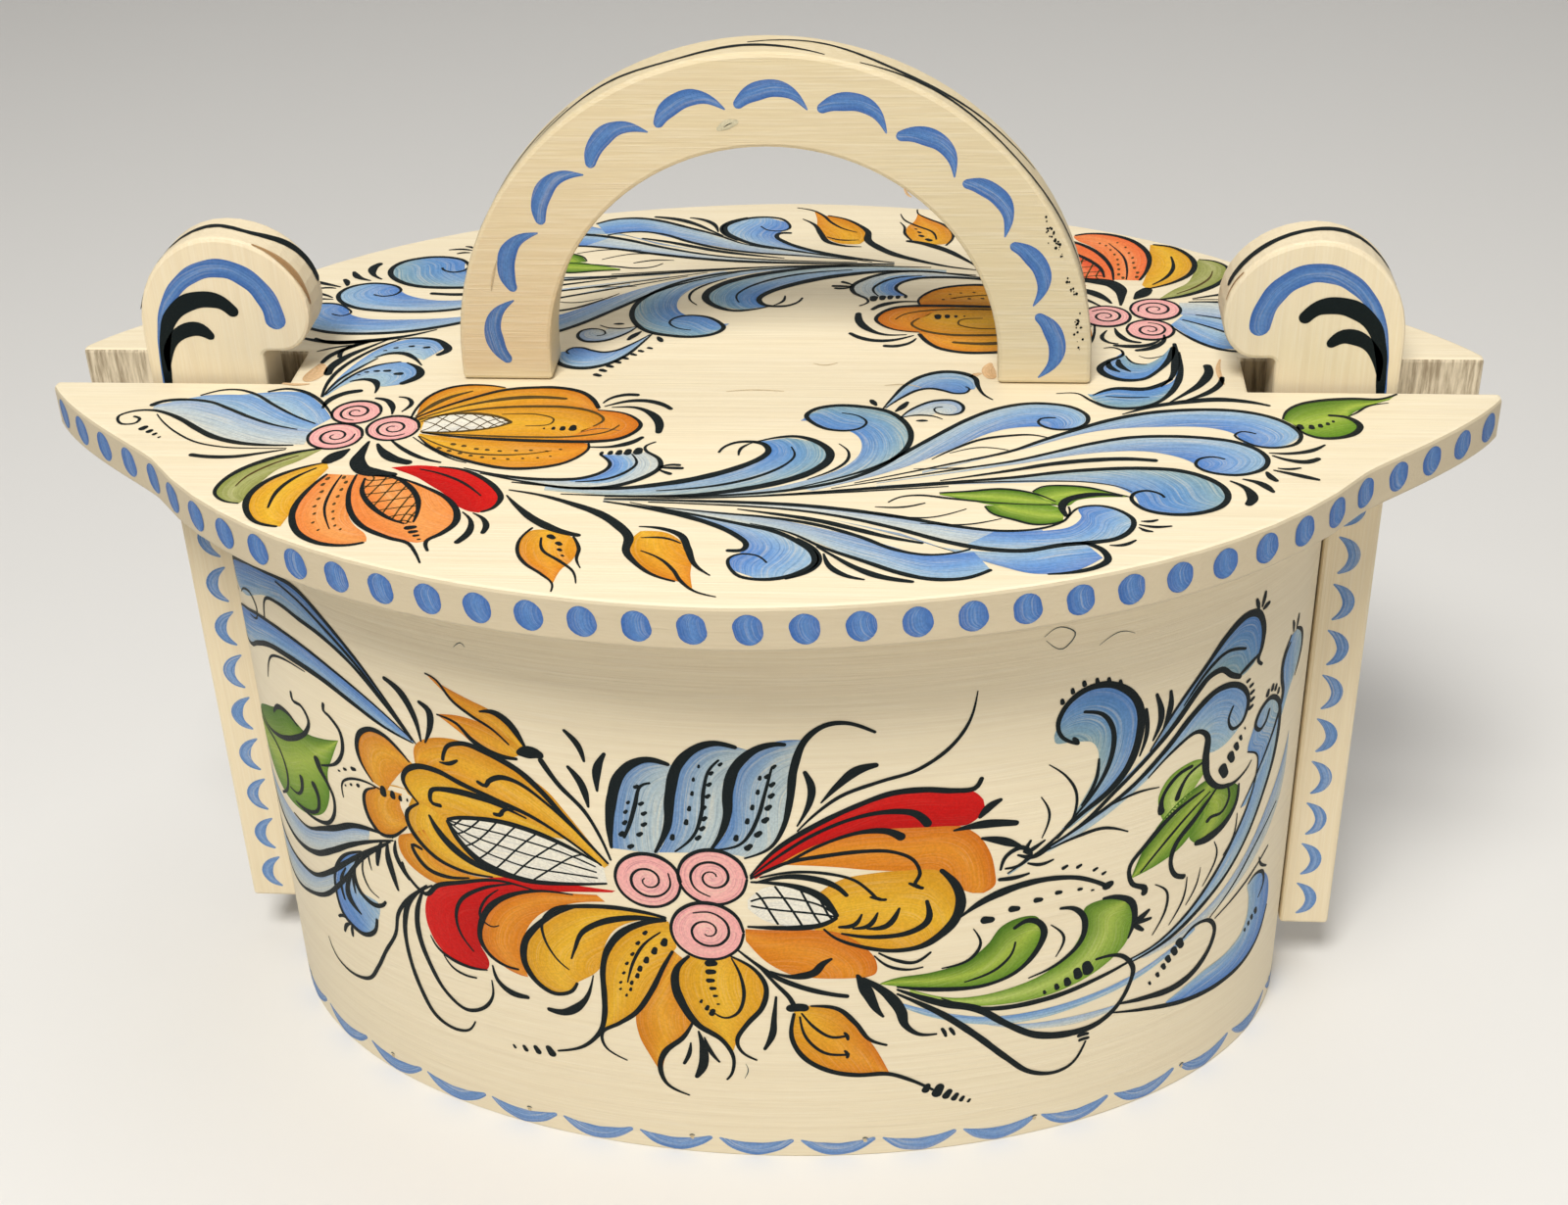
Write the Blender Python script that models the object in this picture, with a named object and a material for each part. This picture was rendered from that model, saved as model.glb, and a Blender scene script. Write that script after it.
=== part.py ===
"""A tine: a bentwood box whose lid lifts off between two springy posts with scrolled heads.

Metres, +Z up. X runs along the oval, the front is -Y, and the origin is on the floor below the middle.
"""

import bisect
import math

import bmesh
import bpy
from mathutils import Matrix, Vector

# Fits
GAP = 0.0003
OVERRUN = 0.0050

# Bentwood side, measured outside
BAND_LENGTH = 0.2770
BAND_WIDTH = 0.1680
BAND_HEIGHT = 0.1710
BAND_WALL = 0.0035
BAND_EASE = 0.0005
LAP_LENGTH = 0.0480
LAP_FEATHER = 0.0010
LAP_RAMP = 0.0090

# Bottom board
BOTTOM_THICKNESS = 0.0105
BOTTOM_EASE = 0.0006

# Lid board
LID_THICKNESS = 0.0110
LID_END_OVERHANG = 0.0365
LID_SIDE_OVERHANG = 0.0260
LID_EASE = 0.0009
LID_BULGE_SHARES = ((0.0, 1.0), (0.14, 1.0), (0.569, 0.928), (0.786, 0.454))
LID_FLARE_SHARES = ((0.786, 0.454), (0.807, 0.407), (0.942, 0.256), (1.0, 0.106))

# Arched handle
HANDLE_OUTER_RADIUS = 0.0763
HANDLE_WIDTH = 0.0222
HANDLE_LEG = 0.0050
HANDLE_THICKNESS = 0.0137
HANDLE_OFF_CENTRE = 0.0030
HANDLE_EASE = 0.0010

# Posts
POST_BOTTOM = 0.0175
POST_WIDTH = 0.0132
POST_THICKNESS = 0.0137
POST_EASE = 0.0010
NECK_STEP = 0.0163
NECK_END_CLEARANCE = 0.0061
NECK_SIDE_CLEARANCE = 0.0023

# Scrolled heads of the posts, heights above the lid
HEAD_TOP = 0.0370
HEAD_SHOULDER = 0.0120
HEAD_BACK_RADIUS = 0.0215
HEAD_WIDEST = 0.0180
HOOK_HEIGHT = 0.0072
HOOK_REACH = 0.0070
HOOK_ROUND = 0.0083
HOOK_FILLET = 0.0015

# Pegs that hold the posts
PEG_RADIUS = 0.0025
PEG_DEPTH = 0.0090
PEG_EASE = 0.0004
PEG_SWING_CLEARANCE = 0.0006
PEG_FIRST_HEIGHT = 0.0090
PEG_PITCH = 0.0180
PEG_NAMES = ("lower", "upper")

# Headless brads round the bottom, and tacks through the lap
BRAD_RADIUS = 0.0008
BRAD_LENGTH = 0.0130
BRAD_POINT = 0.0020
BRAD_SINK = 0.0003
BRAD_COUNT = 16
BRAD_START = 0.0272
TACK_RADIUS = 0.0007
TACK_COLUMN_SHARES = (0.25, 0.75)
TACK_HEIGHT_SHARES = (0.2, 0.5, 0.8)

# Countersunk screws up into the handle
SCREW_HEAD_RADIUS = 0.0036
SCREW_HEAD_HEIGHT = 0.0028
SCREW_RADIUS = 0.0018
SCREW_LENGTH = 0.0280
SCREW_POINT = 0.0040
SCREW_SINK = 0.0002
SCREW_SLOT_WIDTH = 0.0009
SCREW_SLOT_DEPTH = 0.0010

# Counts of facets
OVAL_STEPS = 1440
BAND_FACETS = 128
LAP_FACETS = 9
RAMP_FACETS = 6
STEP_ROUNDING = 1e-6
OUTLINE_STEPS = 18
HANDLE_STEPS = 48
HEAD_STEPS = 10
ROUND_SIDES = 20
BRAD_SIDES = 8
SMOOTH_BELOW = math.radians(35)

# Heights and places that follow
HANDLE_INNER_RADIUS = HANDLE_OUTER_RADIUS - HANDLE_WIDTH
LID_BOTTOM = BAND_HEIGHT + GAP
LID_TOP = LID_BOTTOM + LID_THICKNESS
POST_INNER = BAND_LENGTH / 2 + GAP
NECK_INNER = POST_INNER - NECK_STEP
NOTCH_END = NECK_INNER - NECK_END_CLEARANCE
NOTCH_HALF = POST_THICKNESS / 2 + NECK_SIDE_CLEARANCE


def clear_scene():
    for obj in list(bpy.data.objects):
        bpy.data.objects.remove(obj)


def finish_material(name, colour, roughness, metallic=0.0):
    """A plain surface of one colour."""
    material = bpy.data.materials.new(name)
    material.use_nodes = True
    shader = material.node_tree.nodes["Principled BSDF"]
    shader.inputs["Base Color"].default_value = (*colour, 1.0)
    shader.inputs["Roughness"].default_value = roughness
    shader.inputs["Metallic"].default_value = metallic
    return material


def add_object(name, shape, material=None):
    """A mesh object made from a bmesh, shaded smooth across its gentle bends."""
    bmesh.ops.recalc_face_normals(shape, faces=shape.faces)
    mesh = bpy.data.meshes.new(name)
    shape.to_mesh(mesh)
    shape.free()
    mesh.shade_smooth()
    mesh.set_sharp_from_angle(angle=SMOOTH_BELOW)
    if material:
        mesh.materials.append(material)
    obj = bpy.data.objects.new(name, mesh)
    bpy.context.collection.objects.link(obj)
    return obj


def add_cutter(name, shape):
    cutter = add_object(name, shape)
    cutter.hide_render = True
    cutter.display_type = "WIRE"
    return cutter


def add_pivot(name, place):
    pivot = bpy.data.objects.new(name, None)
    pivot.location = place
    bpy.context.collection.objects.link(pivot)
    return pivot


def carry(obj, pivot):
    """Hangs an object from its body's pivot, leaving it where it is."""
    obj.parent = pivot
    obj.location = obj.location - pivot.location


def cut(obj, cutter):
    difference = obj.modifiers.new(cutter.name, "BOOLEAN")
    difference.operation = "DIFFERENCE"
    difference.object = cutter


def ease_edges(obj, width):
    """Takes the sharp edges off, as sandpaper does."""
    bevel = obj.modifiers.new("eased edges", "BEVEL")
    bevel.width = width
    bevel.segments = 2
    bevel.limit_method = "ANGLE"
    bevel.angle_limit = SMOOTH_BELOW


def bezier(points, steps):
    """Points on a cubic curve, without its last one."""
    found = []
    for step in range(steps):
        t = step / steps
        weights = ((1 - t) ** 3, 3 * t * (1 - t) ** 2, 3 * t**2 * (1 - t), t**3)
        found.append(sum((w * Vector(p) for w, p in zip(weights, points)), Vector((0, 0))))
    return found


def arc(centre, radii, start, stop, steps):
    """Points along a stretch of an ellipse, both ends among them."""
    turns = [start + (stop - start) * step / steps for step in range(steps + 1)]
    return [
        Vector((centre[0] + radii[0] * math.cos(t), centre[1] + radii[1] * math.sin(t))) for t in turns
    ]


def sawn_board(outline, thickness):
    """A board lying on Z = 0 with the outline given in X and Y."""
    shape = bmesh.new()
    face = shape.faces.new([shape.verts.new((x, y, 0.0)) for x, y in outline])
    raised = bmesh.ops.extrude_face_region(shape, geom=[face])["geom"]
    corners = [part for part in raised if isinstance(part, bmesh.types.BMVert)]
    bmesh.ops.translate(shape, verts=corners, vec=(0.0, 0.0, thickness))
    return shape


def upright_board(outline, thickness):
    """A board standing in the XZ plane, centred on Y = 0, with the outline given in X and Z."""
    shape = sawn_board(outline, thickness)
    bmesh.ops.translate(shape, verts=shape.verts, vec=(0.0, 0.0, -thickness / 2))
    bmesh.ops.rotate(shape, verts=shape.verts, matrix=Matrix.Rotation(math.pi / 2, 3, "X"))
    return shape


def turned(profile, sides):
    """A round solid about Z from (radius, height) points that start and end on the axis."""
    shape = bmesh.new()
    corners = [shape.verts.new((radius, 0.0, height)) for radius, height in profile]
    edges = [shape.edges.new(pair) for pair in zip(corners, corners[1:])]
    bmesh.ops.spin(
        shape, geom=corners + edges, cent=(0, 0, 0), axis=(0, 0, 1), angle=2 * math.pi, steps=sides
    )
    bmesh.ops.remove_doubles(shape, verts=shape.verts, dist=GAP / 100)
    return shape


def aimed(obj, place, direction):
    """Puts an object at a place with its Z along a direction."""
    obj.location = place
    obj.rotation_euler = Vector(direction).to_track_quat("Z", "Y").to_euler()
    return obj


def oval_point(turn, out):
    """The place at a turn from the middle of the back, and the way out of the band there."""
    half_length, half_width = BAND_LENGTH / 2, BAND_WIDTH / 2
    foot = Vector((-half_length * math.sin(turn), half_width * math.cos(turn), 0.0))
    way_out = Vector((foot.x / half_length**2, foot.y / half_width**2, 0.0)).normalized()
    return foot + out * way_out, way_out


def oval_lengths():
    """Lengths along the band's outside at even turns from the middle of the back."""
    lengths = [0.0]
    last = oval_point(0.0, 0.0)[0]
    for step in range(1, OVAL_STEPS + 1):
        here = oval_point(2 * math.pi * step / OVAL_STEPS, 0.0)[0]
        lengths.append(lengths[-1] + (here - last).length)
        last = here
    return lengths


OVAL_LENGTHS = oval_lengths()
GIRTH = OVAL_LENGTHS[-1]


def oval_turn(along):
    """The turn at which the oval has run a length, counted on past one round."""
    rounds, rest = divmod(along, GIRTH)
    step = min(bisect.bisect_right(OVAL_LENGTHS, rest), OVAL_STEPS)
    low, high = OVAL_LENGTHS[step - 1 : step + 1]
    return 2 * math.pi * (rounds + (step - 1 + (rest - low) / (high - low)) / OVAL_STEPS)


def strip_faces(along):
    """How far out of the oval the bent strip's two faces are, at a length from its inner end."""
    stand_off = LAP_FEATHER + GAP
    taper = (BAND_WALL - LAP_FEATHER) / LAP_LENGTH
    if along < LAP_LENGTH:
        return -BAND_WALL, LAP_FEATHER + taper * along - BAND_WALL
    if along > GIRTH:
        return stand_off + taper * (along - GIRTH) - BAND_WALL, stand_off
    share = max(0.0, (along - GIRTH) / LAP_RAMP + 1)
    rise = stand_off * share**2 * (3 - 2 * share)
    return rise - BAND_WALL, rise


def band_outside(along):
    """How far out the outermost face is, where the strip's ends lap too."""
    return strip_faces(along + GIRTH)[1] if along < LAP_LENGTH else strip_faces(along)[1]


def band_place(along, height, out):
    """A place at a height over the oval, and the way into the band there."""
    place, way_out = oval_point(oval_turn(along), out)
    place.z = height
    return place, -way_out


def strip_stations():
    """Lengths along the strip at which its mesh has corners, closer on the ramp and the lap."""
    facet = GIRTH / BAND_FACETS
    ramp_start = GIRTH - LAP_RAMP
    stretches = (
        (0.0, LAP_LENGTH, LAP_LENGTH / LAP_FACETS),
        (LAP_LENGTH, ramp_start, facet),
        (ramp_start, GIRTH, LAP_RAMP / RAMP_FACETS),
        (GIRTH, GIRTH + LAP_LENGTH, LAP_LENGTH / LAP_FACETS),
    )
    stations = []
    for start, stop, longest in stretches:
        steps = math.ceil((stop - start) / longest - STEP_ROUNDING)
        stations += [start + (stop - start) * step / steps for step in range(steps)]
    return stations + [GIRTH + LAP_LENGTH]


def bent_strip():
    """The side: one strip bent round the oval until its tapered ends lap at the back."""
    shape = bmesh.new()
    rows = []
    for along in strip_stations():
        inner, outer = strip_faces(along)
        turn = oval_turn(along)
        low = [oval_point(turn, out)[0] for out in (inner, outer)]
        high = [foot + Vector((0.0, 0.0, BAND_HEIGHT)) for foot in reversed(low)]
        rows.append([shape.verts.new(corner) for corner in low + high])
    for row, following in zip(rows, rows[1:]):
        for side in range(4):
            after = (side + 1) % 4
            shape.faces.new((row[side], row[after], following[after], following[side]))
    shape.faces.new(rows[0])
    shape.faces.new(reversed(rows[-1]))
    return shape


def add_holes(name, places, radius, depth, sides):
    """One cutter for round holes that start outside each place and run a depth into it."""
    shape = bmesh.new()
    for place, way_in in places:
        turn = way_in.to_track_quat("Z", "Y").to_matrix().to_4x4()
        middle = place + way_in * (depth - OVERRUN) / 2
        bmesh.ops.create_cone(
            shape,
            cap_ends=True,
            segments=sides,
            radius1=radius,
            radius2=radius,
            depth=depth + OVERRUN,
            matrix=Matrix.Translation(middle) @ turn,
        )
    return add_cutter(name, shape)


def add_brads(material):
    """Headless brads, driven level through the band into the bottom board's edge."""
    places = []
    for index in range(BRAD_COUNT):
        along = BRAD_START + GIRTH * index / BRAD_COUNT
        out = band_outside(along) - BRAD_SINK
        places.append(band_place(along, BOTTOM_THICKNESS / 2, out))
    profile = (
        (0.0, 0.0),
        (BRAD_RADIUS, 0.0),
        (BRAD_RADIUS, BRAD_LENGTH - BRAD_POINT),
        (0.0, BRAD_LENGTH),
    )
    for index, (place, way_in) in enumerate(places, 1):
        brad = add_object(f"bottom_brad_{index:02d}", turned(profile, BRAD_SIDES), material)
        aimed(brad, place, way_in)
    return add_holes("brad holes", places, BRAD_RADIUS + GAP, BRAD_LENGTH + GAP, BRAD_SIDES)


def add_tacks(material):
    """Short tacks through both ends of the strip, where they lap."""
    places = []
    for column in TACK_COLUMN_SHARES:
        for height in TACK_HEIGHT_SHARES:
            places.append(band_place(column * LAP_LENGTH, height * BAND_HEIGHT, band_outside(0.0)))
    length = band_outside(0.0) + BAND_WALL
    profile = ((0.0, 0.0), (TACK_RADIUS, 0.0), (TACK_RADIUS, length), (0.0, length))
    for index, (place, way_in) in enumerate(places, 1):
        tack = add_object(f"lap_tack_{index}", turned(profile, BRAD_SIDES), material)
        aimed(tack, place, way_in)
    return add_holes("tack holes", places, TACK_RADIUS + GAP, length + OVERRUN, BRAD_SIDES)


def add_bottom(material):
    """The oval board inside the foot of the band."""
    inset = -BAND_WALL - GAP
    turns = [oval_turn(GIRTH * step / BAND_FACETS) for step in range(BAND_FACETS)]
    outline = [oval_point(turn, inset)[0].xy for turn in turns]
    board = add_object("bottom_board", sawn_board(outline, BOTTOM_THICKNESS), material)
    ease_edges(board, BOTTOM_EASE)
    return board


def lid_outline():
    """A bulging oval that draws in to two horns at each end, with a notch between them."""
    half_length = BAND_LENGTH / 2 + LID_END_OVERHANG
    half_width = BAND_WIDTH / 2 + LID_SIDE_OVERHANG
    shares = bezier(LID_BULGE_SHARES, OUTLINE_STEPS) + bezier(LID_FLARE_SHARES, OUTLINE_STEPS)
    shares.append(Vector(LID_FLARE_SHARES[-1]))
    quarter = [(x * half_length, y * half_width) for x, y in shares]
    quarter += [(half_length, NOTCH_HALF), (NOTCH_END, NOTCH_HALF)]
    right = quarter + [(x, -y) for x, y in reversed(quarter)]
    left = [(-x, y) for x, y in reversed(right)]
    return right[:-1] + left[:-1]


def add_lid(material):
    lid = add_object("lid_board", sawn_board(lid_outline(), LID_THICKNESS), material)
    lid.location.z = LID_BOTTOM
    ease_edges(lid, LID_EASE)
    return lid


def add_handle(material):
    """A half ring on short straight legs, sawn from a board that stands along the lid."""
    centre = (0.0, HANDLE_LEG)
    outer = arc(centre, (HANDLE_OUTER_RADIUS,) * 2, 0.0, math.pi, HANDLE_STEPS)
    inner = arc(centre, (HANDLE_INNER_RADIUS,) * 2, math.pi, 0.0, HANDLE_STEPS)
    feet = [
        (-HANDLE_OUTER_RADIUS, 0.0),
        (-HANDLE_INNER_RADIUS, 0.0),
        (HANDLE_INNER_RADIUS, 0.0),
        (HANDLE_OUTER_RADIUS, 0.0),
    ]
    outline = [feet[3], *outer, feet[0], feet[1], *inner, feet[2]]
    handle = add_object("handle", upright_board(outline, HANDLE_THICKNESS), material)
    handle.location = (HANDLE_OFF_CENTRE, 0.0, LID_TOP + GAP)
    ease_edges(handle, HANDLE_EASE)
    return handle


def post_outline():
    """Out and up from the post's lower inner corner: shank, neck over the rim, and scrolled head."""
    lid_top = LID_TOP - POST_BOTTOM
    step = BAND_HEIGHT + GAP - POST_BOTTOM
    hook = lid_top + HOOK_HEIGHT
    crown = (POST_WIDTH - HEAD_BACK_RADIUS, lid_top + HEAD_TOP)
    nose = (NOTCH_END - HOOK_REACH - POST_INNER, lid_top + HEAD_WIDEST)
    shoulder = lid_top + HEAD_SHOULDER
    quarter = math.pi / 2
    back = arc((crown[0], shoulder), (HEAD_BACK_RADIUS, crown[1] - shoulder), 0.0, quarter, HEAD_STEPS)
    front = arc(
        (crown[0], nose[1]), (crown[0] - nose[0], crown[1] - nose[1]), quarter, 2 * quarter, HEAD_STEPS
    )
    hook_round = arc(
        (nose[0] + HOOK_ROUND, nose[1]), (HOOK_ROUND, nose[1] - hook), 2 * quarter, 3 * quarter, HEAD_STEPS
    )
    fillet = arc(
        (-NECK_STEP - HOOK_FILLET, hook - HOOK_FILLET), (HOOK_FILLET,) * 2, quarter, 0.0, HEAD_STEPS // 2
    )
    lower = [(0.0, 0.0), (POST_WIDTH, 0.0)]
    return [*lower, *back, *front[1:], *hook_round[1:], *fillet, (-NECK_STEP, step), (0.0, step)]


def add_post(side, name, wood, peg_wood, band):
    """One post with its two pegs. Side is 1 on the right and -1 on the left."""
    corner = Vector((side * POST_INNER, 0.0, POST_BOTTOM))
    outline = [(side * out, up) for out, up in post_outline()]
    post = add_object(f"post_{name}", upright_board(outline, POST_THICKNESS), wood)
    post.location = corner
    ease_edges(post, POST_EASE)

    way_in = Vector((side, 0.0, 0.0))
    peg_start = side * (BAND_LENGTH / 2 - BAND_WALL)
    peg_length = BAND_WALL + GAP + PEG_DEPTH
    heights = [POST_BOTTOM + PEG_FIRST_HEIGHT + row * PEG_PITCH for row in range(len(PEG_NAMES))]
    places = [(Vector((peg_start, 0.0, height)), way_in) for height in heights]
    tip = PEG_RADIUS - PEG_EASE
    profile = (
        (0.0, 0.0),
        (PEG_RADIUS, 0.0),
        (PEG_RADIUS, peg_length - PEG_EASE),
        (tip, peg_length),
        (0.0, peg_length),
    )
    pegs = []
    for row, (place, _) in zip(PEG_NAMES, places):
        peg = add_object(f"post_peg_{name}_{row}", turned(profile, ROUND_SIDES), peg_wood)
        pegs.append(aimed(peg, place, way_in))
    swing_radius = PEG_RADIUS + PEG_SWING_CLEARANCE
    through_band = add_holes(f"peg holes {name}", places, swing_radius, BAND_WALL + GAP / 2, ROUND_SIDES)
    into_post = add_holes(f"peg sockets {name}", places, PEG_RADIUS + GAP, peg_length + GAP, ROUND_SIDES)
    cut(band, through_band)
    cut(post, into_post)

    pivot = add_pivot(f"post_{name}_pivot", corner)
    for obj in (post, *pegs):
        carry(obj, pivot)


def add_screws(lid, handle, material):
    """Two slotted screws, up through the lid into the handle's legs."""
    leg_middle = HANDLE_OUTER_RADIUS - HANDLE_WIDTH / 2
    profile = (
        (0.0, 0.0),
        (SCREW_HEAD_RADIUS, 0.0),
        (SCREW_RADIUS, SCREW_HEAD_HEIGHT),
        (SCREW_RADIUS, SCREW_LENGTH - SCREW_POINT),
        (0.0, SCREW_LENGTH),
    )
    bore = (
        (0.0, -OVERRUN),
        (SCREW_HEAD_RADIUS + GAP, -OVERRUN),
        (SCREW_HEAD_RADIUS + GAP, 0.0),
        (SCREW_RADIUS + GAP, SCREW_HEAD_HEIGHT),
        (SCREW_RADIUS + GAP, SCREW_LENGTH + GAP),
        (0.0, SCREW_LENGTH + GAP),
    )
    screws = []
    for side, name in ((-1, "left"), (1, "right")):
        place = Vector((HANDLE_OFF_CENTRE + side * leg_middle, 0.0, LID_BOTTOM + SCREW_SINK))
        screw = add_object(f"handle_screw_{name}", turned(profile, ROUND_SIDES), material)
        screw.location = place
        slot = bmesh.new()
        across = 4 * SCREW_HEAD_RADIUS
        slot_size = Matrix.Diagonal((across, SCREW_SLOT_WIDTH, 2 * SCREW_SLOT_DEPTH, 1.0))
        bmesh.ops.create_cube(slot, size=1.0, matrix=slot_size)
        slot_cutter = add_cutter(f"screw slot {name}", slot)
        slot_cutter.location = place
        cut(screw, slot_cutter)
        hole = add_cutter(f"screw hole {name}", turned(bore, ROUND_SIDES))
        hole.location = place
        cut(lid, hole)
        cut(handle, hole)
        screws.append(screw)
    return screws


def build():
    clear_scene()
    side_paint = finish_material("painted bentwood", (0.80, 0.75, 0.66), 0.5)
    board_paint = finish_material("painted board", (0.82, 0.77, 0.68), 0.5)
    post_paint = finish_material("painted post", (0.81, 0.76, 0.67), 0.5)
    bare_wood = finish_material("bare pine", (0.66, 0.48, 0.29), 0.7)
    peg_wood = finish_material("birch peg", (0.62, 0.42, 0.24), 0.65)
    steel = finish_material("steel", (0.56, 0.56, 0.55), 0.35, 1.0)

    band = add_object("side_band", bent_strip(), side_paint)
    ease_edges(band, BAND_EASE)
    bottom = add_bottom(bare_wood)
    brad_holes = add_brads(steel)
    cut(band, brad_holes)
    cut(bottom, brad_holes)
    cut(band, add_tacks(steel))
    add_post(-1, "left", post_paint, peg_wood, band)
    add_post(1, "right", post_paint, peg_wood, band)

    lid = add_lid(board_paint)
    handle = add_handle(board_paint)
    screws = add_screws(lid, handle, steel)
    lid_pivot = add_pivot("lid_lift", (0.0, 0.0, LID_BOTTOM))
    for obj in (lid, handle, *screws):
        carry(obj, lid_pivot)


build()
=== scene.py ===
import math

import bmesh
import bpy
import numpy as np
from mathutils import Matrix, Vector

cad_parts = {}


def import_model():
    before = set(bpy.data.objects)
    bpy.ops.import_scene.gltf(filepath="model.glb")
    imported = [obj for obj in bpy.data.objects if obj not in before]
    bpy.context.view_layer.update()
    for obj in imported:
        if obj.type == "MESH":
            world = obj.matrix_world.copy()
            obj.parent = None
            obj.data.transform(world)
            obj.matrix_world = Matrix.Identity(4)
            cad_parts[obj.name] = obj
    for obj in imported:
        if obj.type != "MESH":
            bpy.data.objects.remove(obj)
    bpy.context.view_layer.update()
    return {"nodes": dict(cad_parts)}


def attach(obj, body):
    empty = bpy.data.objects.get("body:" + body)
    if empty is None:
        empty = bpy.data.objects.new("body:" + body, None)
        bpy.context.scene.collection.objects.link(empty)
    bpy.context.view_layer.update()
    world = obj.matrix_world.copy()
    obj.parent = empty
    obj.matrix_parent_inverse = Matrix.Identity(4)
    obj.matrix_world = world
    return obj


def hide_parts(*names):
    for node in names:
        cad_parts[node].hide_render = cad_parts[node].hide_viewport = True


# One millimetre, the unit of every painted path below
MM = 0.001

# Sizes of the box in millimetres
HALF_LENGTH, HALF_WIDTH = 138.5, 84.0
BAND_TOP, BAND_WALL, BAND_EASE = 171.0, 3.5, 0.6
LAP_LENGTH, LAP_RISE, LAP_RAMP = 48.0, 1.3, 9.0
LID_LOW, LID_TOP = 171.3, 182.3
LID_HALF_LENGTH, LID_HALF_WIDTH = 175.0, 110.0
LID_BULGE = ((0.0, 1.0), (0.14, 1.0), (0.569, 0.928), (0.786, 0.454))
LID_FLARE = ((0.786, 0.454), (0.807, 0.407), (0.942, 0.256), (1.0, 0.106))
NOTCH_END, NOTCH_HALF = 116.4, 9.15
BOARD_HALF = 6.85
HANDLE_MIDDLE, HANDLE_OUTER, HANDLE_INNER = (3.0, 187.6), 76.3, 54.1
POST_OUTER, CROWN_X, CROWN_TOP, SHOULDER, NOSE_X, NOSE_Z = 152.0, 130.5, 219.3, 194.3, 109.4, 200.3
BRAD_START, BRAD_COUNT = 27.2, 16

# How far the paint stands off the wood, and how finely it is drawn, in millimetres
FILL_LIFT, FILL_STEP, LINE_LIFT, STEP = 0.03, 0.0012, 0.1, 0.9
NET_LIFT = LINE_LIFT - 0.01

# Paint colours as seen on screen, from 0 to 255
CREAM = (236, 222, 190)
INK = (16, 26, 28)
PAINTS = {
    "ink": (INK,),
    "umber": ((84, 66, 30),),
    "thin": ((70, 84, 84),),
    "blue": ((82, 128, 196), (112, 158, 212), (158, 188, 208)),
    "blue back": ((158, 188, 208), (112, 158, 212), (82, 128, 196)),
    "feather": ((84, 128, 186), (164, 186, 200), (186, 200, 200)),
    "sky": ((104, 150, 206), (140, 176, 212), (168, 196, 206)),
    "mist": ((140, 168, 206), (182, 198, 208), (204, 208, 200)),
    "teal": ((84, 134, 200), (104, 152, 200), (138, 170, 178)),
    "border": ((60, 102, 170), (90, 134, 192), (68, 110, 176)),
    "pale border": ((92, 132, 190), (122, 158, 206), (100, 140, 196)),
    "red": ((208, 22, 18), (200, 14, 12), (186, 12, 12)),
    "orange": ((206, 110, 18), (226, 144, 38), (214, 124, 22)),
    "peach": ((230, 126, 54), (240, 158, 84), (234, 142, 68)),
    "ember": ((234, 104, 50), (244, 144, 84), (238, 122, 62)),
    "coral": ((222, 78, 44), (240, 120, 72), (228, 96, 54)),
    "amber": ((206, 124, 24), (228, 162, 42), (216, 136, 30)),
    "yellow": ((212, 150, 26), (232, 180, 48), (220, 156, 30)),
    "olive": ((134, 142, 68), (168, 170, 104), (146, 150, 78)),
    "green": ((66, 108, 22), (164, 186, 70), (88, 132, 30)),
    "lime": ((112, 150, 44), (188, 206, 112), (134, 168, 56)),
    "pink": ((244, 182, 178), (242, 170, 168)),
    "white": ((240, 236, 220), (236, 232, 218)),
    "smudge": ((206, 198, 166), (212, 204, 174)),
    "rubbed": ((184, 146, 100), (166, 126, 82), (194, 158, 112)),
    "pale scuff and dimple shade": ((214, 196, 160), (204, 182, 142)),
    "bare": ((228, 190, 144), (206, 166, 120)),
}


def linear(colour):
    """A colour from 0 to 255 as the linear light that shaders take."""
    share = np.asarray(colour, float) / 255
    return np.where(share <= 0.04045, share / 12.92, ((share + 0.055) / 1.055) ** 2.4)


def path(text):
    """The points of a painted path, from its pairs of numbers."""
    return np.array([[float(number) for number in pair.split(",")] for pair in text.split()])


def smooth(points, per_span=8):
    """A smooth curve through points, with even steps in each span."""
    points = np.asarray(points, float)
    if len(points) < 3:
        share = np.linspace(0, 1, per_span + 1)[:, None]
        return points[0] * (1 - share) + points[1] * share
    gaps = np.maximum(np.linalg.norm(np.diff(points, axis=0), axis=1) ** 0.5, 1e-6)[:, None]
    slopes = np.diff(points, axis=0) / gaps
    inner = (slopes[:-1] * gaps[1:] + slopes[1:] * gaps[:-1]) / (gaps[:-1] + gaps[1:])
    first, last = 1.5 * slopes[:1] - 0.5 * inner[:1], 1.5 * slopes[-1:] - 0.5 * inner[-1:]
    tangents = np.concatenate([first, inner, last])
    t = (np.arange(per_span) / per_span)[:, None]
    spans = []
    for k in range(len(points) - 1):
        start = (2 * t**3 - 3 * t**2 + 1) * points[k] + (t**3 - 2 * t**2 + t) * gaps[k] * tangents[k]
        stop = (3 * t**2 - 2 * t**3) * points[k + 1] + (t**3 - t**2) * gaps[k] * tangents[k + 1]
        spans.append(start + stop)
    return np.concatenate([*spans, points[-1:]])


def run_of(line):
    return np.concatenate([[0.0], np.cumsum(np.linalg.norm(np.diff(line, axis=0), axis=1))])


def at_runs(line, runs):
    total = run_of(line)
    return np.stack([np.interp(runs, total, line[:, k]) for k in (0, 1)], 1)


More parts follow.
